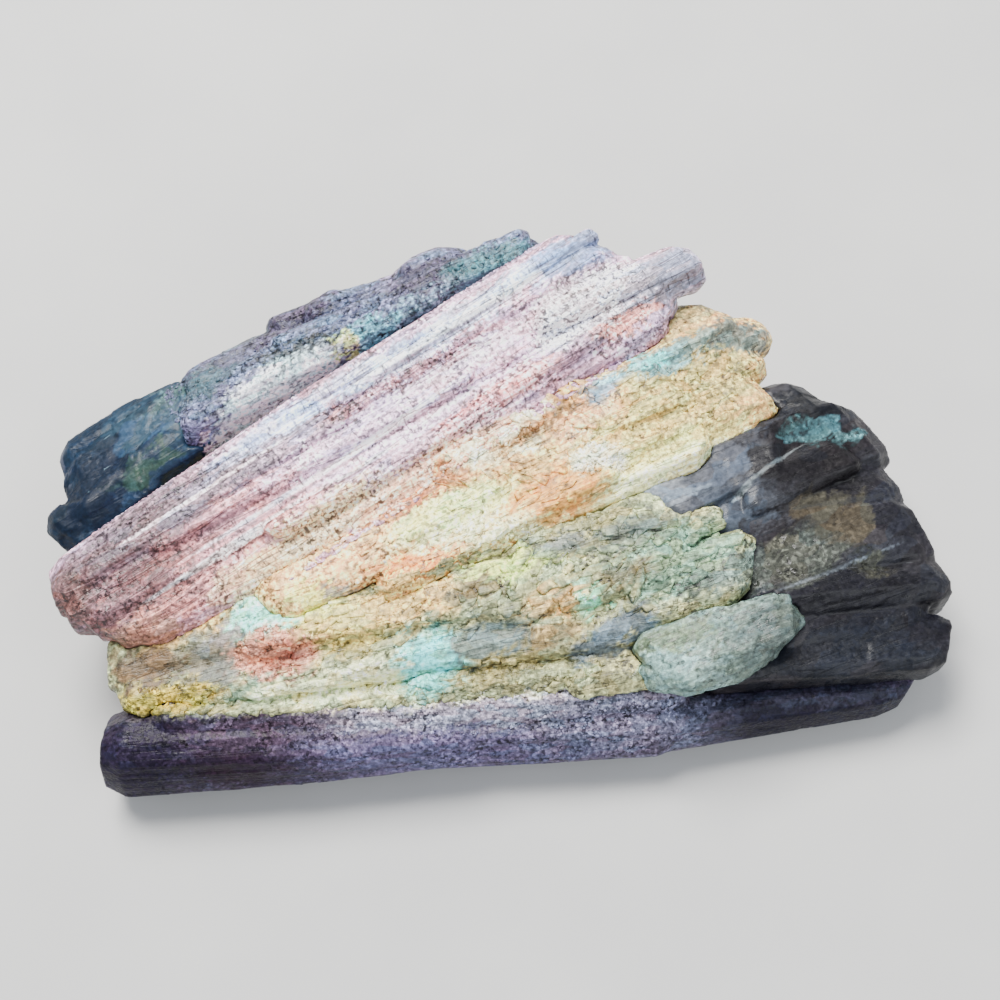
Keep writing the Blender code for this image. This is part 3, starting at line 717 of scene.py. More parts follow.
feldsparShape = {"voxel": 0.3, "soften": 1, "swell": 0.14, "turn": 28, "climb": 1}
feldsparLook = {
    "colours": [(0.60, 0.47, 0.31), (0.72, 0.62, 0.44)], "mottle": 3, "ragged": 1.2, "keep": 0.35,
    "cell": (2.2, 0.9), "cellShade": 0.22, "hues": [(1.14, 0.94, 0.82), (0.90, 1.05, 1.08)],
    "turn": 27, "pitch": 0.5, "length": 6, "spacing": 1.9, "lineShade": 0.08,
    "speckle": 0.6, "speckleShade": 0.42, "grainSize": 0.44, "grainShade": 0.7,
    "darkGrains": 0.85, "pits": 0.46,
    "paleGrainsAndGlints": 1.1, "specks": 0.56, "stipple": 1.4,
    "ridges": 0.35, "seams": 0.45, "breaks": 0.25, "hollowShadeTint": 0.2, "hollowShadeColour": (0.36, 0.23, 0.13),
    "cracks": 0.5, "crackColour": (0.30, 0.18, 0.10), "crackSize": 4, "crackWidth": 0.03, "crackFrom": 0.54,
    "hollows": 0.3, "edges": 0.3,
    "lineDepth": 0.06, "grainDepth": 0.07, "speckleDepth": 0.13, "ridgeDepth": 0.05, "sparkle": 0.6,
    "roughness": (0.30, 0.55), "ior": 1.53, "milk": 0.1, "milkReach": (1.0, 0.7, 0.4), "milkScale": 0.35,
    "grit": 0.7,
    "patches": [
        {"tint": (0.84, 0.61, 0.46), "at": (-18.5, -9.5), "half": (11, 4.6), "turn": 30, "grit": 0.8},
        {"tint": (0.86, 0.64, 0.52), "at": (-8, 0.5), "half": (14, 1.4), "turn": 32, "grit": 0.7},
        {"tint": (0.50, 0.30, 0.20), "at": (-12, -3.2), "half": (8.5, 1.4), "turn": 26, "grit": 1.0, "strength": 0.9},
        {"tint": (0.66, 0.47, 0.34), "at": (-7, 0.6), "half": (4, 1.2), "turn": 15, "grit": 0.7},
        {"tint": (0.96, 0.94, 0.80), "at": (0.5, 6.2), "half": (7.4, 3.6), "turn": 24, "grit": 0.3},
        {"tint": (0.76, 0.60, 0.47), "at": (12, 8.6), "half": (5, 2.6), "turn": 30, "grit": 0.9},
        {"tint": (0.53, 0.49, 0.32), "at": (25, 13.8), "half": (10, 6.5), "turn": 30, "grit": 0.8},
        {"tint": (0.62, 0.57, 0.38), "at": (18, 7.0), "half": (8, 2.8), "turn": 28, "grit": 0.7},
        {"tint": (0.50, 0.46, 0.33), "at": (23, 24), "half": (8, 3), "turn": 30, "grit": 0.6},
        {"tint": (0.68, 0.67, 0.47), "at": (19, 2.6), "half": (15, 2.2), "turn": 27, "grit": 0.4},
        {"tint": (0.93, 0.93, 0.68), "at": (21, 1.2), "half": (17, 1.7), "turn": 27, "grit": 0.25},
        {"tint": (0.62, 0.44, 0.24), "at": (7.4, -2.0), "half": (7.5, 3.4), "turn": 22, "grit": 0.1},
        {"tint": (0.72, 0.82, 0.55), "at": (-5.6, -4.3), "half": (8.5, 2.6), "turn": 22, "grit": 0.6},
        {"tint": (0.93, 0.95, 0.70), "at": (-2.7, -7.0), "half": (8, 1.9), "turn": 12, "grit": 0.7},
        {"tint": (0.86, 0.85, 0.73), "at": (13.3, 3), "half": (3.6, 2.0), "turn": 12, "grit": 1.0},
        {"tint": (0.45, 0.31, 0.17), "at": (6.5, 7.4), "half": (8, 0.9), "turn": 34, "grit": 0.7},
        {"tint": (0.58, 0.44, 0.28), "at": (3.2, 2.2), "half": (6, 0.6), "turn": -28, "grit": 0.4, "strength": 0.7},
        {"tint": (0.33, 0.43, 0.50), "at": (13.6, 12.6), "half": (3.0, 1.8), "turn": 38, "grit": 0.1},
        {"tint": (0.34, 0.49, 0.52), "at": (21.5, 16.8), "half": (5.6, 1.9), "turn": 22, "grit": 0.1},
        {"tint": (0.38, 0.46, 0.45), "at": (25.8, 19.6), "half": (3.6, 1.3), "turn": 30, "grit": 0.1},
        {"tint": (0.38, 0.84, 0.82), "at": (20.2, 16.9), "half": (2.4, 0.7), "turn": 10, "grit": 1.0, "strength": 0.8},
        {"tint": (0.62, 0.76, 0.84), "at": (14.2, 13.8), "half": (1.6, 0.6), "turn": 30, "grit": 1.0, "strength": 0.8},
        {"tint": (0.22, 0.28, 0.28), "at": (32.2, 21.6), "half": (4.5, 2.4), "turn": 10, "grit": 0.3},
        {"tint": (0.74, 0.49, 0.30), "at": (-9.6, -10.6), "half": (6, 1.4), "turn": 14, "grit": 0.8},
        {"tint": (0.98, 0.92, 0.52), "at": (-23.3, -15.0), "half": (2.8, 2.0), "grit": 0.15},
        {"tint": (0.46, 0.45, 0.42), "at": (-20, -14.3), "half": (1.9, 1.1), "grit": 0.2},
    ],
}


def blocks(a, b, c):
    # a level of its own for each angular cell, and the distance from the cell's middle
    far, near = noise.voronoi((a, b, c))
    x, y, z = near[0]
    return noise.cell((x * 7.1, y * 7.1, z * 7.1)), far[0]


def feldsparRelief(along, across, rise, lean, grit):
    side = across + 0.5 * noise.noise((along * 0.08, across * 0.3, rise * 0.3))
    start = 3.9 * noise.cell((side * 0.6, 1.5, rise * 0.5))
    step = noise.cell((along / 6 + start, side * 0.6, rise * 0.5))
    level, far = blocks(along * 0.45, across * 1.0, rise * 1.0)
    wave = noise.noise((along * 0.2, side * 0.5, rise * 0.5))
    sand = noise.fractal((along * 1.4, across * 1.5, rise * 1.5), 0.8, 2.0, 2)
    pit = max(0.0, noise.noise((along * 0.6, across * 1.0, rise * 1.0 + 5)) - 0.4)
    return 0.07 * step + 0.06 * level + 0.05 * wave + 0.05 * grit * sand - 0.4 * pit


# Smoky quartz

smokyShape = {"voxel": 0.34, "soften": 2, "swell": 0.14, "turn": 18, "climb": -9}
smokyLook = {
    "colours": [(0.050, 0.048, 0.060), (0.105, 0.104, 0.115)], "mottle": 5, "ragged": 1.2, "keep": 0.3,
    "cell": (5.5, 2.4), "cellShade": 0.24, "hues": [(1.10, 0.97, 0.90), (0.90, 1.01, 1.12)],
    "turn": 21, "pitch": 0.5, "length": 6, "spacing": 2.6, "lineShade": 0.08,
    "speckle": 0.6, "speckleShade": 0.3, "grainSize": 0.5, "grainShade": 0.8,
    "darkGrains": 0.4, "pits": 0.46,
    "paleGrainsAndGlints": 1.2, "specks": 0.56, "stipple": 0.9,
    "ridges": 0.25, "seams": 0.3, "breaks": 0.0, "hollowShadeTint": 0.3, "hollowShadeColour": (0.03, 0.028, 0.03),
    "cracks": 0.25, "crackColour": (0.40, 0.41, 0.42), "crackSize": 5, "crackWidth": 0.02, "crackFrom": 0.66,
    "hollows": 0.4, "edges": 0.25,
    "lineDepth": 0.02, "grainDepth": 0.07, "speckleDepth": 0.03, "ridgeDepth": 0.02, "sparkle": 0.7,
    "roughness": (0.28, 0.48), "ior": 1.545, "clear": 0.2, "gloss": 0.1, "depthColour": (0.62, 0.58, 0.60), "depth": 900,
    "grit": 0.2,
    "patches": [
        {"tint": (0.024, 0.024, 0.034), "at": (50, -14), "half": (11, 7), "turn": 10},
        {"tint": (0.030, 0.035, 0.050), "at": (46, -19.8), "half": (12, 3.2), "turn": 6},
        {"tint": (0.035, 0.032, 0.038), "at": (40, 2.5), "half": (9, 8), "turn": 20},
        {"tint": (0.145, 0.155, 0.135), "at": (38, -8.2), "half": (8, 3.2), "turn": 24, "grit": 1.1, "strength": 0.9},
        {"tint": (0.33, 0.36, 0.39), "at": (21, -0.6), "half": (8, 3.4), "turn": 28, "grit": 0.05},
        {"tint": (0.19, 0.21, 0.245), "at": (30, 4.2), "half": (5.6, 2.8), "turn": 35, "grit": 0.05},
        {"tint": (0.15, 0.165, 0.19), "at": (29.5, -2.8), "half": (7, 3.2), "turn": 20, "grit": 0.05},
        {"tint": (0.50, 0.53, 0.54), "at": (31.8, -0.2, 20), "half": (1.6, 0.3, 6), "turn": 40, "grit": 0.6, "strength": 0.8, "straight": True},
        {"tint": (0.36, 0.39, 0.40), "at": (35.5, 3.2, 20), "half": (6, 0.22, 6), "turn": 38, "strength": 0.7, "straight": True},
        {"tint": (0.30, 0.32, 0.34), "at": (44, -9.4, 16), "half": (9, 0.22, 7), "turn": 24, "strength": 0.6, "straight": True},
        {"tint": (0.17, 0.29, 0.31), "at": (43.5, 9, 18), "half": (4.4, 1.9, 6), "turn": 8, "grit": 1.0},
        {"tint": (0.155, 0.145, 0.115), "at": (44.5, -2.0), "half": (5.4, 2.8), "turn": -14, "grit": 0.3},
        {"tint": (0.10, 0.10, 0.08), "at": (48.4, -7.4), "half": (2, 3.2), "turn": 30, "grit": 0.7},
        {"tint": (0.30, 0.33, 0.34), "at": (50.1, -21.6), "half": (0.9, 0.5), "turn": 20, "grit": 0.6},
        {"tint": (0.022, 0.024, 0.032), "at": (40, 12.8), "half": (9, 2.8), "turn": 12, "grit": 0.3},
    ],
}


def smokyRelief(along, across, rise, lean, grit):
    bend = noise.noise((along * 0.16, across * 0.2, rise * 0.2))
    ripple = noise.noise((along * 0.5 + 2 * bend, across * 0.35, rise * 0.35))
    threads = noise.noise((along * 0.08, across * 1.2, rise * 1.2))
    level, far = blocks(along * 0.14, across * 0.25, rise * 0.25)
    sand = noise.fractal((along * 1.4, across * 1.4, rise * 1.4), 0.8, 2.0, 2)
    return 0.14 * bend + 0.05 * ripple + 0.03 * threads + 0.14 * level + 0.10 * grit * sand


# Albite blade

bladeShape = {"voxel": 0.24, "soften": 1, "swell": 0.14, "turn": 22, "climb": 2}
bladeLook = {
    "colours": [(0.27, 0.33, 0.30), (0.37, 0.44, 0.43)], "mottle": 2.4, "ragged": 1.2, "keep": 0.35,
    "cell": (1.8, 0.9), "cellShade": 0.14, "hues": [(1.06, 0.99, 0.88), (0.93, 1.02, 1.08)],
    "turn": 22, "pitch": 0.4, "length": 4, "spacing": 1.6, "lineShade": 0.06,
    "speckle": 0.6, "speckleShade": 0.36, "grainSize": 0.45, "grainShade": 0.7,
    "darkGrains": 0.8, "pits": 0.46,
    "paleGrainsAndGlints": 0.6, "specks": 0.56, "stipple": 1.2,
    "ridges": 0.25, "seams": 0.3, "breaks": 0.1, "hollowShadeTint": 0.2, "hollowShadeColour": (0.14, 0.17, 0.14),
    "cracks": 0.4, "crackColour": (0.18, 0.22, 0.18), "crackSize": 5, "crackWidth": 0.035, "crackFrom": 0.54,
    "hollows": 0.35, "edges": 0.35,
    "lineDepth": 0.04, "grainDepth": 0.07, "speckleDepth": 0.07, "ridgeDepth": 0.03, "sparkle": 0.5,
    "roughness": (0.28, 0.46), "ior": 1.53, "milk": 0.15, "milkReach": (0.9, 1.0, 0.85), "milkScale": 0.5,
    "grit": 0.6,
    "patches": [
        {"tint": (0.17, 0.20, 0.19), "at": (36.5, -18.4), "half": (8, 4.5), "turn": 20, "grit": 0.3, "soft": 0.6},
        {"tint": (0.26, 0.31, 0.24), "at": (22.5, -19.6), "half": (6, 1.8), "turn": 20, "grit": 0.5},
        {"tint": (0.34, 0.42, 0.405), "at": (21, -24.6), "half": (4.4, 3), "grit": 0.6},
    ],
}


def bladeRelief(along, across, rise, lean, grit):
    wave = noise.noise((along * 0.18, across * 0.4, rise * 0.3))
    crease = abs(noise.noise((along * 0.45, across * 0.8, rise * 0.8 + 3)))
    level, far = blocks(along * 0.4, across * 0.7, rise * 0.7)
    sand = noise.fractal((along * 1.6, across * 1.6, rise * 1.6), 0.8, 2.0, 2)
    return 0.22 * wave + 0.2 * (crease - 0.25) + 0.11 * level + 0.09 * grit * sand


# Blue quartz

blueShape = {"voxel": 0.34, "soften": 2, "swell": 0.14, "turn": 34, "climb": 6}
blueLook = {
    "colours": [(0.030, 0.055, 0.090), (0.055, 0.100, 0.155)], "mottle": 7, "ragged": 1.4, "keep": 0.3,
    "cell": (4.5, 2.6), "cellShade": 0.12, "hues": [(1.08, 1.03, 0.88), (0.90, 0.98, 1.12)],
    "turn": 34, "pitch": 0.6, "length": 5, "spacing": 3, "lineShade": 0.02,
    "speckle": 0.6, "speckleShade": 0.16, "grainSize": 0.5, "grainShade": 0.7,
    "darkGrains": 0.4, "pits": 0.46,
    "paleGrainsAndGlints": 1.5, "specks": 0.56, "stipple": 0.9,
    "ridges": 0.05, "seams": 0.1, "breaks": 0.0, "hollowShadeTint": 0.3, "hollowShadeColour": (0.03, 0.045, 0.06),
    "cracks": 0.5, "crackColour": (0.42, 0.50, 0.54), "crackSize": 5, "crackWidth": 0.03, "crackFrom": 0.66,
    "hollows": 0.25, "edges": 0.25,
    "lineDepth": 0.02, "grainDepth": 0.07, "speckleDepth": 0.03, "ridgeDepth": 0.02, "sparkle": 0.7,
    "roughness": (0.32, 0.5), "ior": 1.545, "clear": 0.2, "gloss": 0.07, "depthColour": (0.35, 0.62, 0.76), "depth": 800,
    "grit": 0.2,
    "patches": [
        {"tint": (0.22, 0.30, 0.34), "at": (-38.5, 14), "half": (6, 3), "turn": 20, "grit": 0.3},
        {"tint": (0.10, 0.165, 0.225), "at": (-46, 12), "half": (6.5, 2.6), "turn": 30},
        {"tint": (0.16, 0.23, 0.25), "at": (-42, 16.4), "half": (6, 1.4), "turn": 34, "grit": 0.5},
        {"tint": (0.09, 0.15, 0.13), "at": (-47, 4.6), "half": (6, 1.6), "turn": 36, "grit": 0.2},
        {"tint": (0.19, 0.20, 0.24), "at": (-58.8, 7), "half": (1.2, 7), "turn": -8, "grit": 0.3},
        {"tint": (0.025, 0.045, 0.08), "at": (-54, 2), "half": (4, 7), "turn": -20},
    ],
}


def blueRelief(along, across, rise, lean, grit):
    bend = noise.noise((along * 0.18, across * 0.22, rise * 0.22))
    ripple = noise.noise((along * 0.6 + 3 * bend, across * 0.5, rise * 0.5))
    level, far = blocks(along * 0.18, across * 0.26, rise * 0.26)
    sand = noise.fractal((along * 1.4, across * 1.4, rise * 1.4), 0.8, 2.0, 2)
    return 0.16 * bend + 0.06 * ripple + 0.16 * level + 0.10 * grit * sand


# Lepidolite crust

crustShape = {"voxel": 0.32, "soften": 1, "swell": 0.14, "turn": 27, "climb": 4}
crustLook = {
    "colours": [(0.20, 0.215, 0.29), (0.30, 0.33, 0.41)], "mottle": 3, "ragged": 1.2, "keep": 0.35,
    "cell": (2.6, 0.9), "cellShade": 0.24, "hues": [(1.14, 0.92, 0.98), (0.85, 1.05, 1.06)],
    "turn": 27, "pitch": 0.45, "length": 4, "spacing": 1.6, "lineShade": 0.14,
    "speckle": 0.6, "speckleShade": 0.42, "grainSize": 0.45, "grainShade": 0.7,
    "darkGrains": 0.85, "pits": 0.46,
    "paleGrainsAndGlints": 1.1, "specks": 0.56, "stipple": 1.4,
    "ridges": 0.35, "seams": 0.5, "breaks": 0.2, "hollowShadeTint": 0.08, "hollowShadeColour": (0.09, 0.10, 0.12),
    "cracks": 0.4, "crackColour": (0.06, 0.07, 0.08), "crackSize": 5, "crackWidth": 0.035, "crackFrom": 0.52,
    "hollows": 0.15, "edges": 0.3,
    "lineDepth": 0.07, "grainDepth": 0.07, "speckleDepth": 0.14, "ridgeDepth": 0.05, "sparkle": 0.8,
    "roughness": (0.28, 0.55), "ior": 1.56, "milk": 0.05, "milkReach": (1.0, 0.9, 1.0), "milkScale": 0.3,
    "grit": 0.8,
    "patches": [
        {"tint": (0.25, 0.29, 0.37), "at": (-27, 20.6), "half": (10, 2.6), "turn": 28, "grit": 0.9},
        {"tint": (0.15, 0.13, 0.18), "at": (-28, 25.2), "half": (7, 2.6), "turn": 28, "grit": 0.9},
        {"tint": (0.15, 0.14, 0.19), "at": (-8.5, 29.6), "half": (7, 2.8), "turn": 20, "grit": 0.8},
        {"tint": (0.19, 0.185, 0.24), "at": (-38, 18), "half": (6, 2.2), "turn": 30, "grit": 0.7},
        {"tint": (0.43, 0.51, 0.56), "at": (-8, 25.6), "half": (16, 1.3), "turn": 26, "grit": 0.6},
        {"tint": (0.12, 0.20, 0.225), "at": (-6.5, 25.4), "half": (12, 1.5), "turn": 32, "grit": 0.6},
        {"tint": (0.24, 0.42, 0.45), "at": (-16.4, 21.4), "half": (3.6, 1.8), "turn": 27, "grit": 1.2},
        {"tint": (0.70, 0.76, 0.52), "at": (-20.2, 20.2), "half": (1.6, 1.1), "turn": 20, "grit": 0.8},
        {"tint": (0.18, 0.31, 0.33), "at": (1.0, 31.4), "half": (8, 2.0), "turn": 16, "grit": 0.6},
        {"tint": (0.20, 0.31, 0.33), "at": (14.4, 31.4), "half": (7, 3), "turn": -20, "grit": 0.8},
        {"tint": (0.15, 0.22, 0.25), "at": (-39, 15.6), "half": (5, 2.6), "turn": 34, "grit": 0.4},
        {"tint": (0.78, 0.78, 0.80), "at": (-33.5, 9.6), "half": (9, 1.7), "turn": 33, "grit": 0.8},
        {"tint": (0.74, 0.82, 0.85), "at": (-28.8, 14.4), "half": (8.5, 2.5), "turn": 31, "grit": 0.7},
        {"tint": (0.10, 0.12, 0.12), "at": (-26.5, 19.2), "half": (6.5, 0.8), "turn": 20, "grit": 0.8},
        {"tint": (0.34, 0.30, 0.36), "at": (-13, 34, 14), "half": (8, 4, 8), "turn": 15, "grit": 1.0},
        {"tint": (0.23, 0.28, 0.29), "at": (-35, 25, 10), "half": (7, 4, 8), "turn": 40, "grit": 0.7},
    ],
}


def crustRelief(along, across, rise, lean, grit):
    fold = noise.noise((along * 0.12, across * 0.35, rise * 0.35))
    level, far = blocks(along * 0.35, across * 0.9, rise * 0.9)
    thread = noise.noise((along * 0.15, across * 1.6, rise * 1.6))
    sand = noise.fractal((along * 1.3, across * 1.4, rise * 1.4), 0.8, 2.0, 2)
    return 0.14 * fold + 0.08 * level + 0.07 * thread + 0.06 * grit * sand


# Quartz matrix

matrixShape = {"voxel": 0.45, "soften": 1, "swell": 0.14, "turn": 14, "climb": 0}
matrixLook = {
    "colours": [(0.38, 0.38, 0.28), (0.50, 0.50, 0.38)], "mottle": 3, "ragged": 1.4, "keep": 0.35,
    "cell": (2.2, 1.2), "cellShade": 0.3, "hues": [(1.11, 1.0, 0.84), (0.88, 1.03, 1.12)],
    "turn": 14, "pitch": 0.5, "length": 4, "spacing": 1.8, "lineShade": 0.1,
    "speckle": 0.65, "speckleShade": 0.42, "grainSize": 0.46, "grainShade": 0.7,
    "darkGrains": 0.85, "pits": 0.46,
    "paleGrainsAndGlints": 0.8, "specks": 0.56, "stipple": 1.6,
    "ridges": 0.2, "seams": 0.45, "breaks": 0.25, "hollowShadeTint": 0.2, "hollowShadeColour": (0.15, 0.14, 0.09),
    "cracks": 0.6, "crackColour": (0.10, 0.10, 0.06), "crackSize": 3.5, "crackWidth": 0.03, "crackFrom": 0.53,
    "hollows": 0.35, "edges": 0.3,
    "lineDepth": 0.06, "grainDepth": 0.07, "speckleDepth": 0.14, "ridgeDepth": 0.05, "sparkle": 0.7,
    "roughness": (0.30, 0.58), "ior": 1.545, "milk": 0.08, "milkReach": (1.0, 0.9, 0.6), "milkScale": 0.35,
    "grit": 0.8,
    "patches": [
        # darker towards the bottom, below about 11 mm
        {"tint": (0.22, 0.22, 0.19), "at": (0, 0, 3), "half": (70, 50, 8), "strength": 0.7, "soft": 0.4},
        {"tint": (0.33, 0.30, 0.27), "at": (28, 26, 5), "half": (12, 9, 12), "turn": -35, "grit": 0.5, "soft": 0.4},
        {"tint": (0.40, 0.42, 0.38), "at": (4, 34, 6), "half": (9, 6, 9), "grit": 0.9, "soft": 0.4},
        {"tint": (0.28, 0.31, 0.34), "at": (-20, 30, 3), "half": (10, 8, 9), "turn": 20, "grit": 0.3, "soft": 0.4},
        {"tint": (0.45, 0.38, 0.30), "at": (-38, 20, 3), "half": (8, 7, 9), "turn": 30, "grit": 0.8, "soft": 0.4},
        {"tint": (0.47, 0.48, 0.37), "at": (10, -12), "half": (11, 5), "turn": 18, "grit": 1.0},
        {"tint": (0.35, 0.44, 0.37), "at": (23, -9.5), "half": (9, 4.4), "turn": 20, "grit": 1.0},
        {"tint": (0.62, 0.57, 0.37), "at": (-20, -18.3), "half": (8, 3.4), "turn": 14, "grit": 0.8},
        {"tint": (0.66, 0.56, 0.38), "at": (-11, -15), "half": (7, 2.6), "turn": 12, "grit": 0.8},
        {"tint": (0.66, 0.72, 0.45), "at": (2, -10.6), "half": (6.5, 1.6), "turn": 20, "grit": 0.9},
        {"tint": (0.62, 0.50, 0.33), "at": (8, -15.2), "half": (4.5, 1.3), "turn": 14, "grit": 1.0},
        {"tint": (0.41, 0.35, 0.24), "at": (6, -19.4), "half": (4.5, 1.6), "turn": 20, "grit": 0.5},
        {"tint": (0.60, 0.49, 0.31), "at": (-39, -17.2), "half": (7, 1.6), "turn": 30, "grit": 0.8},
        {"tint": (0.52, 0.84, 0.71), "at": (-29.4, -16.2), "half": (5.0, 3.2), "turn": 15, "grit": 0.4},
        {"tint": (0.98, 0.92, 0.52), "at": (-23.3, -15.4), "half": (2.8, 2.2), "grit": 0.15},
        {"tint": (0.32, 0.31, 0.28), "at": (-36, -21.8), "half": (3.2, 4.4), "turn": -18, "grit": 0.1},
        {"tint": (0.42, 0.41, 0.42), "at": (-34.4, -18.6), "half": (2.2, 1.3), "grit": 0.1},
        {"tint": (0.64, 0.44, 0.38), "at": (-28, -21.2), "half": (5.6, 2.9), "turn": 8, "grit": 1.0},
        {"tint": (0.42, 0.21, 0.17), "at": (-26.4, -21.9), "half": (1.5, 1.0), "grit": 0.2, "soft": 0.5},
        {"tint": (0.25, 0.185, 0.135), "at": (-44.4, -22.4), "half": (5.6, 2.8), "turn": 10, "grit": 0.2},
        {"tint": (0.52, 0.46, 0.19), "at": (-42, -26.6), "half": (7, 1.9), "turn": 6, "grit": 0.8},
        {"tint": (0.36, 0.44, 0.38), "at": (-30.5, -25.6), "half": (4.4, 1.3), "turn": 8, "grit": 0.4},
        {"tint": (0.94, 0.96, 0.72), "at": (-19, -25.0), "half": (12, 1.8), "turn": 8, "grit": 0.15},
        {"tint": (0.40, 0.67, 0.66), "at": (-8.4, -22), "half": (3.7, 3.8), "grit": 0.2},
        {"tint": (0.28, 0.33, 0.33), "at": (-1, -20.0), "half": (5.6, 2.2), "turn": 14, "grit": 0.1},
        {"tint": (0.44, 0.41, 0.27), "at": (0.5, -22.8), "half": (5.4, 1.8), "turn": 16, "grit": 0.2},
        {"tint": (0.21, 0.26, 0.31), "at": (15.2, -18.8), "half": (6.4, 1.8), "turn": 26, "grit": 0.1},
        {"tint": (0.46, 0.70, 0.60), "at": (12, -14.8), "half": (1.6, 1.3), "grit": 0.5},
        {"tint": (0.33, 0.36, 0.36), "at": (8.2, -7.6), "half": (4.2, 1.3), "turn": 12, "grit": 0.1},
        {"tint": (0.24, 0.27, 0.25), "at": (17.5, -6.2), "half": (5.6, 1.6), "turn": 22, "grit": 0.6},
        {"tint": (0.31, 0.285, 0.20), "at": (16.4, -11.6), "half": (4.2, 1.7), "turn": 25, "grit": 1.0},
        {"tint": (0.35, 0.31, 0.22), "at": (-2.5, -14.0), "half": (4, 1.2), "turn": 12, "grit": 1.0},
        {"tint": (0.11, 0.12, 0.09), "at": (24.6, -13.2), "half": (3.4, 0.6), "turn": 10, "grit": 0.7},
        {"tint": (0.27, 0.31, 0.28), "at": (31.5, -10.6), "half": (6, 2.4), "turn": 20, "grit": 0.8},
    ],
}


def matrixRelief(along, across, rise, lean, grit):
    fold = noise.noise((along * 0.14, across * 0.25, rise * 0.3))
    level, far = blocks(along * 0.38, across * 0.6, rise * 0.6)
    small, near = blocks(along * 0.9, across * 1.1, rise * 1.1)
    sand = noise.fractal((along * 1.2, across * 1.3, rise * 1.3), 0.8, 2.0, 2)
    pit = max(0.0, noise.noise((along * 0.45, across * 0.8, rise * 0.8 + 8)) - 0.36)
    return 0.14 * fold + 0.10 * level + grit * (0.05 * small + 0.05 * sand) - 0.6 * pit


minerals = [
    ("rubellite_sheaf", "rubellite", sheafShape, sheafLook, sheafRelief),
    ("rubellite_bar", "rubellite_dark", barShape, barLook, barRelief),
    ("feldspar_columns", "feldspar", feldsparShape, feldsparLook, feldsparRelief),
    ("smoky_quartz", "smoky_quartz", smokyShape, smokyLook, smokyRelief),
    ("albite_blade", "albite", bladeShape, bladeLook, bladeRelief),
    ("blue_quartz", "blue_quartz", blueShape, blueLook, blueRelief),
    ("lepidolite_crust", "lepidolite", crustShape, crustLook, crustRelief),
    ("quartz_matrix", "quartz", matrixShape, matrixLook, matrixRelief),
]
pieces, finishes = {}, {}
for node, slot, shape, look, relief in minerals:
    piece = fineCopy(node, node + "_fine", shape)
    carve(piece, shape, look, relief)
    markBulge(piece)
    finishes[node] = mineral(node, look)
    finishPiece(piece, slot, finishes[node], node)
    pieces[node] = piece


# Grains, chips and flakes on them

treeOf = {node: lookupOf(piece) for node, piece in pieces.items()}
looks = {node: look for node, slot, shape, look, relief in minerals}
grains = grainShapes(6, 11, 0.22)
chips = chipShapes(5, 12)
flakes = flakeShapes(5, 13)


def scatterOn(name, host, shapes, look, slot):
    finishPiece(scatter(name, host, shapes, look), slot, finishes[host])


sheafGrains = {
    "seed": 21, "grit": 0.3, "lift": 1.1,
    "spots": [
        {"middle": (12, 23), "half": (8.5, 4), "turn": 30, "count": 420, "size": (0.25, 0.5), "proud": 0.0},
        {"middle": (-11, 13.6), "half": (8, 1.4), "turn": 34, "count": 120, "size": (0.25, 0.5), "proud": 0.0},
        {"middle": (-20, 1), "half": (36, 11), "turn": 33.5, "count": 420, "size": (0.2, 0.42), "proud": 0.0},
        {
            "middle": (-3, 3.2), "half": (28, 0.7), "turn": 34.5, "count": 260, "size": (0.3, 0.8), "long": (1.0, 2.4),
            "hosts": ["rubellite_sheaf", "feldspar_columns"], "grain": 33, "stray": 20, "proud": 0.0,
        },
    ],
}
scatterOn("rubellite_grains", "rubellite_sheaf", grains, sheafGrains, "rubellite")

barGrains = {
    "seed": 22, "grit": 0.3, "lift": 1.15,
    "spots": [
        {"middle": (-2, -27.6), "half": (28, 3.2), "turn": 4, "count": 800, "size": (0.22, 0.45)},
        {"middle": (14, -28), "half": (16, 3.4), "turn": 4, "count": 260, "size": (0.22, 0.45)},
    ],
}
scatterOn("rubellite_bar_frosting", "rubellite_bar", grains, barGrains, "rubellite_dark")

feldsparChips = {
    "seed": 23, "grit": 0.3,
    "spots": [
        {
            "middle": (4, 2), "half": (30, 12), "turn": 28, "count": 420, "size": (0.4, 1.0), "long": (1.4, 3.6),
            "flat": (0.3, 0.5), "tilt": 0.12, "grain": 27, "stray": 14, "proud": -0.1,
        },
        {
            "middle": (2, 5), "half": (14, 7), "turn": 28, "count": 60, "size": (0.5, 1.2), "long": (1.6, 4.0),
            "flat": (0.3, 0.5), "tilt": 0.12, "grain": -20, "stray": 25, "proud": -0.1,
        },
        {"middle": (0.5, 6), "half": (6.5, 3.2), "turn": 22, "count": 180, "size": (0.25, 0.5), "proud": 0.0},
        {"middle": (13.3, 3), "half": (4, 2.4), "turn": 12, "count": 100, "size": (0.25, 0.5), "proud": 0.0},
        {"middle": (-2.7, -7.7), "half": (7.5, 1.8), "turn": 10, "count": 100, "size": (0.25, 0.5), "proud": 0.0},
        {"middle": (24, 13), "half": (9, 6), "turn": 30, "count": 120, "size": (0.3, 0.6), "proud": 0.0},
    ],
}
scatterOn("feldspar_chips", "feldspar_columns", chips, feldsparChips, "feldspar")

matrixCrumbs = {
    "seed": 24, "grit": 0.4,
    "spots": [
        {"middle": (14, -11.5), "half": (15, 5.5), "turn": 16, "count": 420, "size": (0.3, 0.7), "proud": 0.0},
        {"middle": (-16, -18), "half": (14, 5), "turn": 12, "count": 260, "size": (0.3, 0.7), "proud": 0.0},
        {"middle": (-28, -21.2), "half": (5.6, 3), "turn": 8, "count": 160, "size": (0.3, 0.7), "proud": 0.0},
        {"middle": (-42, -26.6), "half": (7, 2), "turn": 6, "count": 90, "size": (0.3, 0.6)},
    ],
}
scatterOn("quartz_crumbs", "quartz_matrix", grains, matrixCrumbs, "quartz")

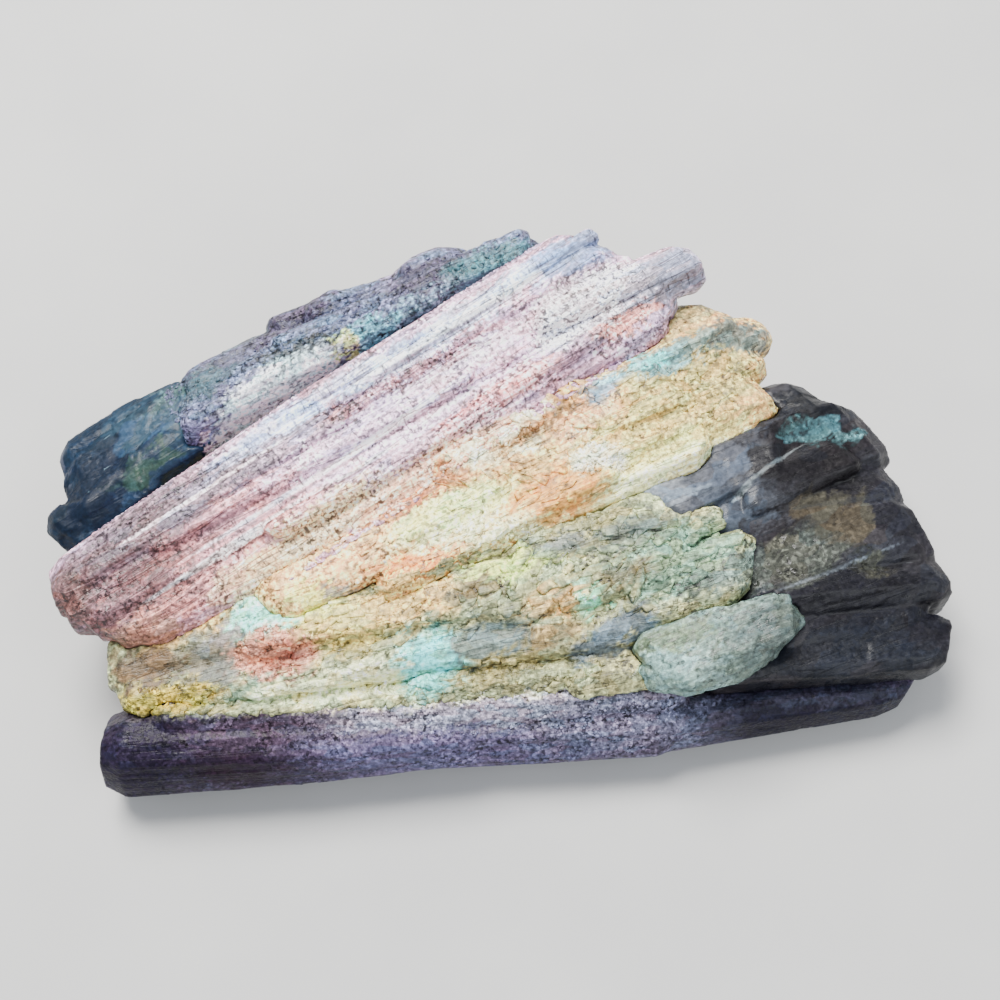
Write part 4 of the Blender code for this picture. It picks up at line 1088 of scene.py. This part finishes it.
matrixShards = {
    "seed": 26, "grit": 0.25,
    "spots": [
        {
            "middle": (15, -10.5), "half": (16, 6), "turn": 16, "count": 130, "size": (0.6, 1.6), "long": (1.2, 3.4),
            "flat": (0.35, 0.6), "tilt": 0.25, "grain": 28, "stray": 40, "proud": -0.15,
        },
        {
            "middle": (-16, -18), "half": (16, 5.5), "turn": 12, "count": 110, "size": (0.5, 1.3), "long": (1.2, 3.0),
            "flat": (0.35, 0.6), "tilt": 0.2, "grain": 14, "stray": 35, "proud": -0.15,
        },
        {
            "middle": (-15, -25.6), "half": (29, 1.5), "turn": 4.5, "count": 620, "size": (0.4, 0.95),
            "hosts": ["quartz_matrix", "rubellite_bar"],
            "long": (1.0, 2.6), "flat": (0.6, 1.0), "tilt": 0.4, "grain": 5, "stray": 30, "proud": 0.1,
        },
        {
            "middle": (2, -22.9), "half": (12, 1.3), "turn": 5, "count": 300, "size": (0.5, 1.0),
            "hosts": ["quartz_matrix", "rubellite_bar"],
            "long": (1.0, 2.6), "flat": (0.6, 1.0), "tilt": 0.4, "grain": 8, "stray": 30, "proud": 0.1,
        },
        {
            "middle": (2.4, -8.1), "half": (22, 0.6), "turn": 19.7, "count": 190, "size": (0.35, 0.9),
            "hosts": ["quartz_matrix", "feldspar_columns"],
            "long": (1.0, 2.6), "flat": (0.5, 0.9), "tilt": 0.3, "grain": 22, "stray": 35, "proud": 0.0,
        },
    ],
}
scatterOn("quartz_shards", "quartz_matrix", chips, matrixShards, "quartz")

crustFlakes = {
    "seed": 25, "grit": 0.4,
    "spots": [
        {"middle": (-18, 22), "half": (26, 7), "turn": 26, "count": 700, "size": (0.4, 1.0), "tilt": 0.4, "proud": 0.0},
        {
            "middle": (-41, 14), "half": (3, 4), "turn": 30, "count": 140, "size": (0.3, 0.9), "proud": 0.0,
            "hosts": ["lepidolite_crust", "blue_quartz"],
        },
        {"middle": (-3, 27.5), "half": (10, 3), "turn": 24, "count": 160, "size": (0.4, 1.0), "tilt": 0.4, "proud": 0.0},
    ],
}
scatterOn("lepidolite_flakes", "lepidolite_crust", flakes, crustFlakes, "lepidolite")


# Floor, lights and camera

studio = {
    "floor": 0.9, "drop": 0.02,
    "target": (0.5, 1.1, 14), "distance": 258, "elevation": 68, "lens": 70,
}
bm = bmesh.new()
bmesh.ops.create_grid(bm, x_segments=1, y_segments=1, size=studio["floor"])
bmesh.ops.translate(bm, verts=bm.verts, vec=(0, 0, -studio["drop"] * mm))
floor = newPiece("floor", bm)
floorPaint = bpy.data.materials.new("floor_paint")
floorPaint.use_nodes = True
tree = floorPaint.node_tree
place = add(tree, "TexCoord").outputs["Object"]
tone = remap(tree, cloud(tree, place, 30, 3)["Fac"], 0.3, 0.7)
fill(tree, tree.nodes["Principled BSDF"], {
    "Base Color": blend(tree, tone, (0.43, 0.43, 0.425, 1), (0.46, 0.46, 0.45, 1)),
    "Roughness": 0.75,
})
floor.data.materials.append(floorPaint)

world = bpy.data.worlds.new("studio")
bpy.context.scene.world = world
world.use_nodes = True
world.node_tree.nodes["Background"].inputs["Color"].default_value = (0.86, 0.91, 1.0, 1.0)
world.node_tree.nodes["Background"].inputs["Strength"].default_value = 0.8

lights = [
    ("key", (-0.16, 0.25, 0.60), 0.32, 13.6, (1.0, 0.98, 0.95)),
    ("fill", (0.40, -0.34, 0.46), 0.5, 3.0, (0.94, 0.97, 1.0)),
    ("rim", (0.10, 0.55, 0.25), 0.25, 1.0, (1.0, 0.98, 0.96)),
]
aim = Vector(studio["target"]) * mm
for name, place, size, power, colour in lights:
    lamp = bpy.data.lights.new(name, "AREA")
    lamp.size, lamp.energy, lamp.color = size, power, colour
    light = bpy.data.objects.new(name, lamp)
    light.location = place
    light.rotation_euler = (aim - light.location).to_track_quat("-Z", "Y").to_euler()
    bpy.context.scene.collection.objects.link(light)

lens = bpy.data.cameras.new("camera")
lens.lens, lens.sensor_width, lens.clip_start = studio["lens"], 36, 0.01
camera = bpy.data.objects.new("camera", lens)
tip = math.radians(studio["elevation"])
camera.location = aim + Vector((0, -math.cos(tip), math.sin(tip))) * studio["distance"] * mm
camera.rotation_euler = (aim - camera.location).to_track_quat("-Z", "Y").to_euler()
bpy.context.scene.collection.objects.link(camera)
bpy.context.scene.camera = camera
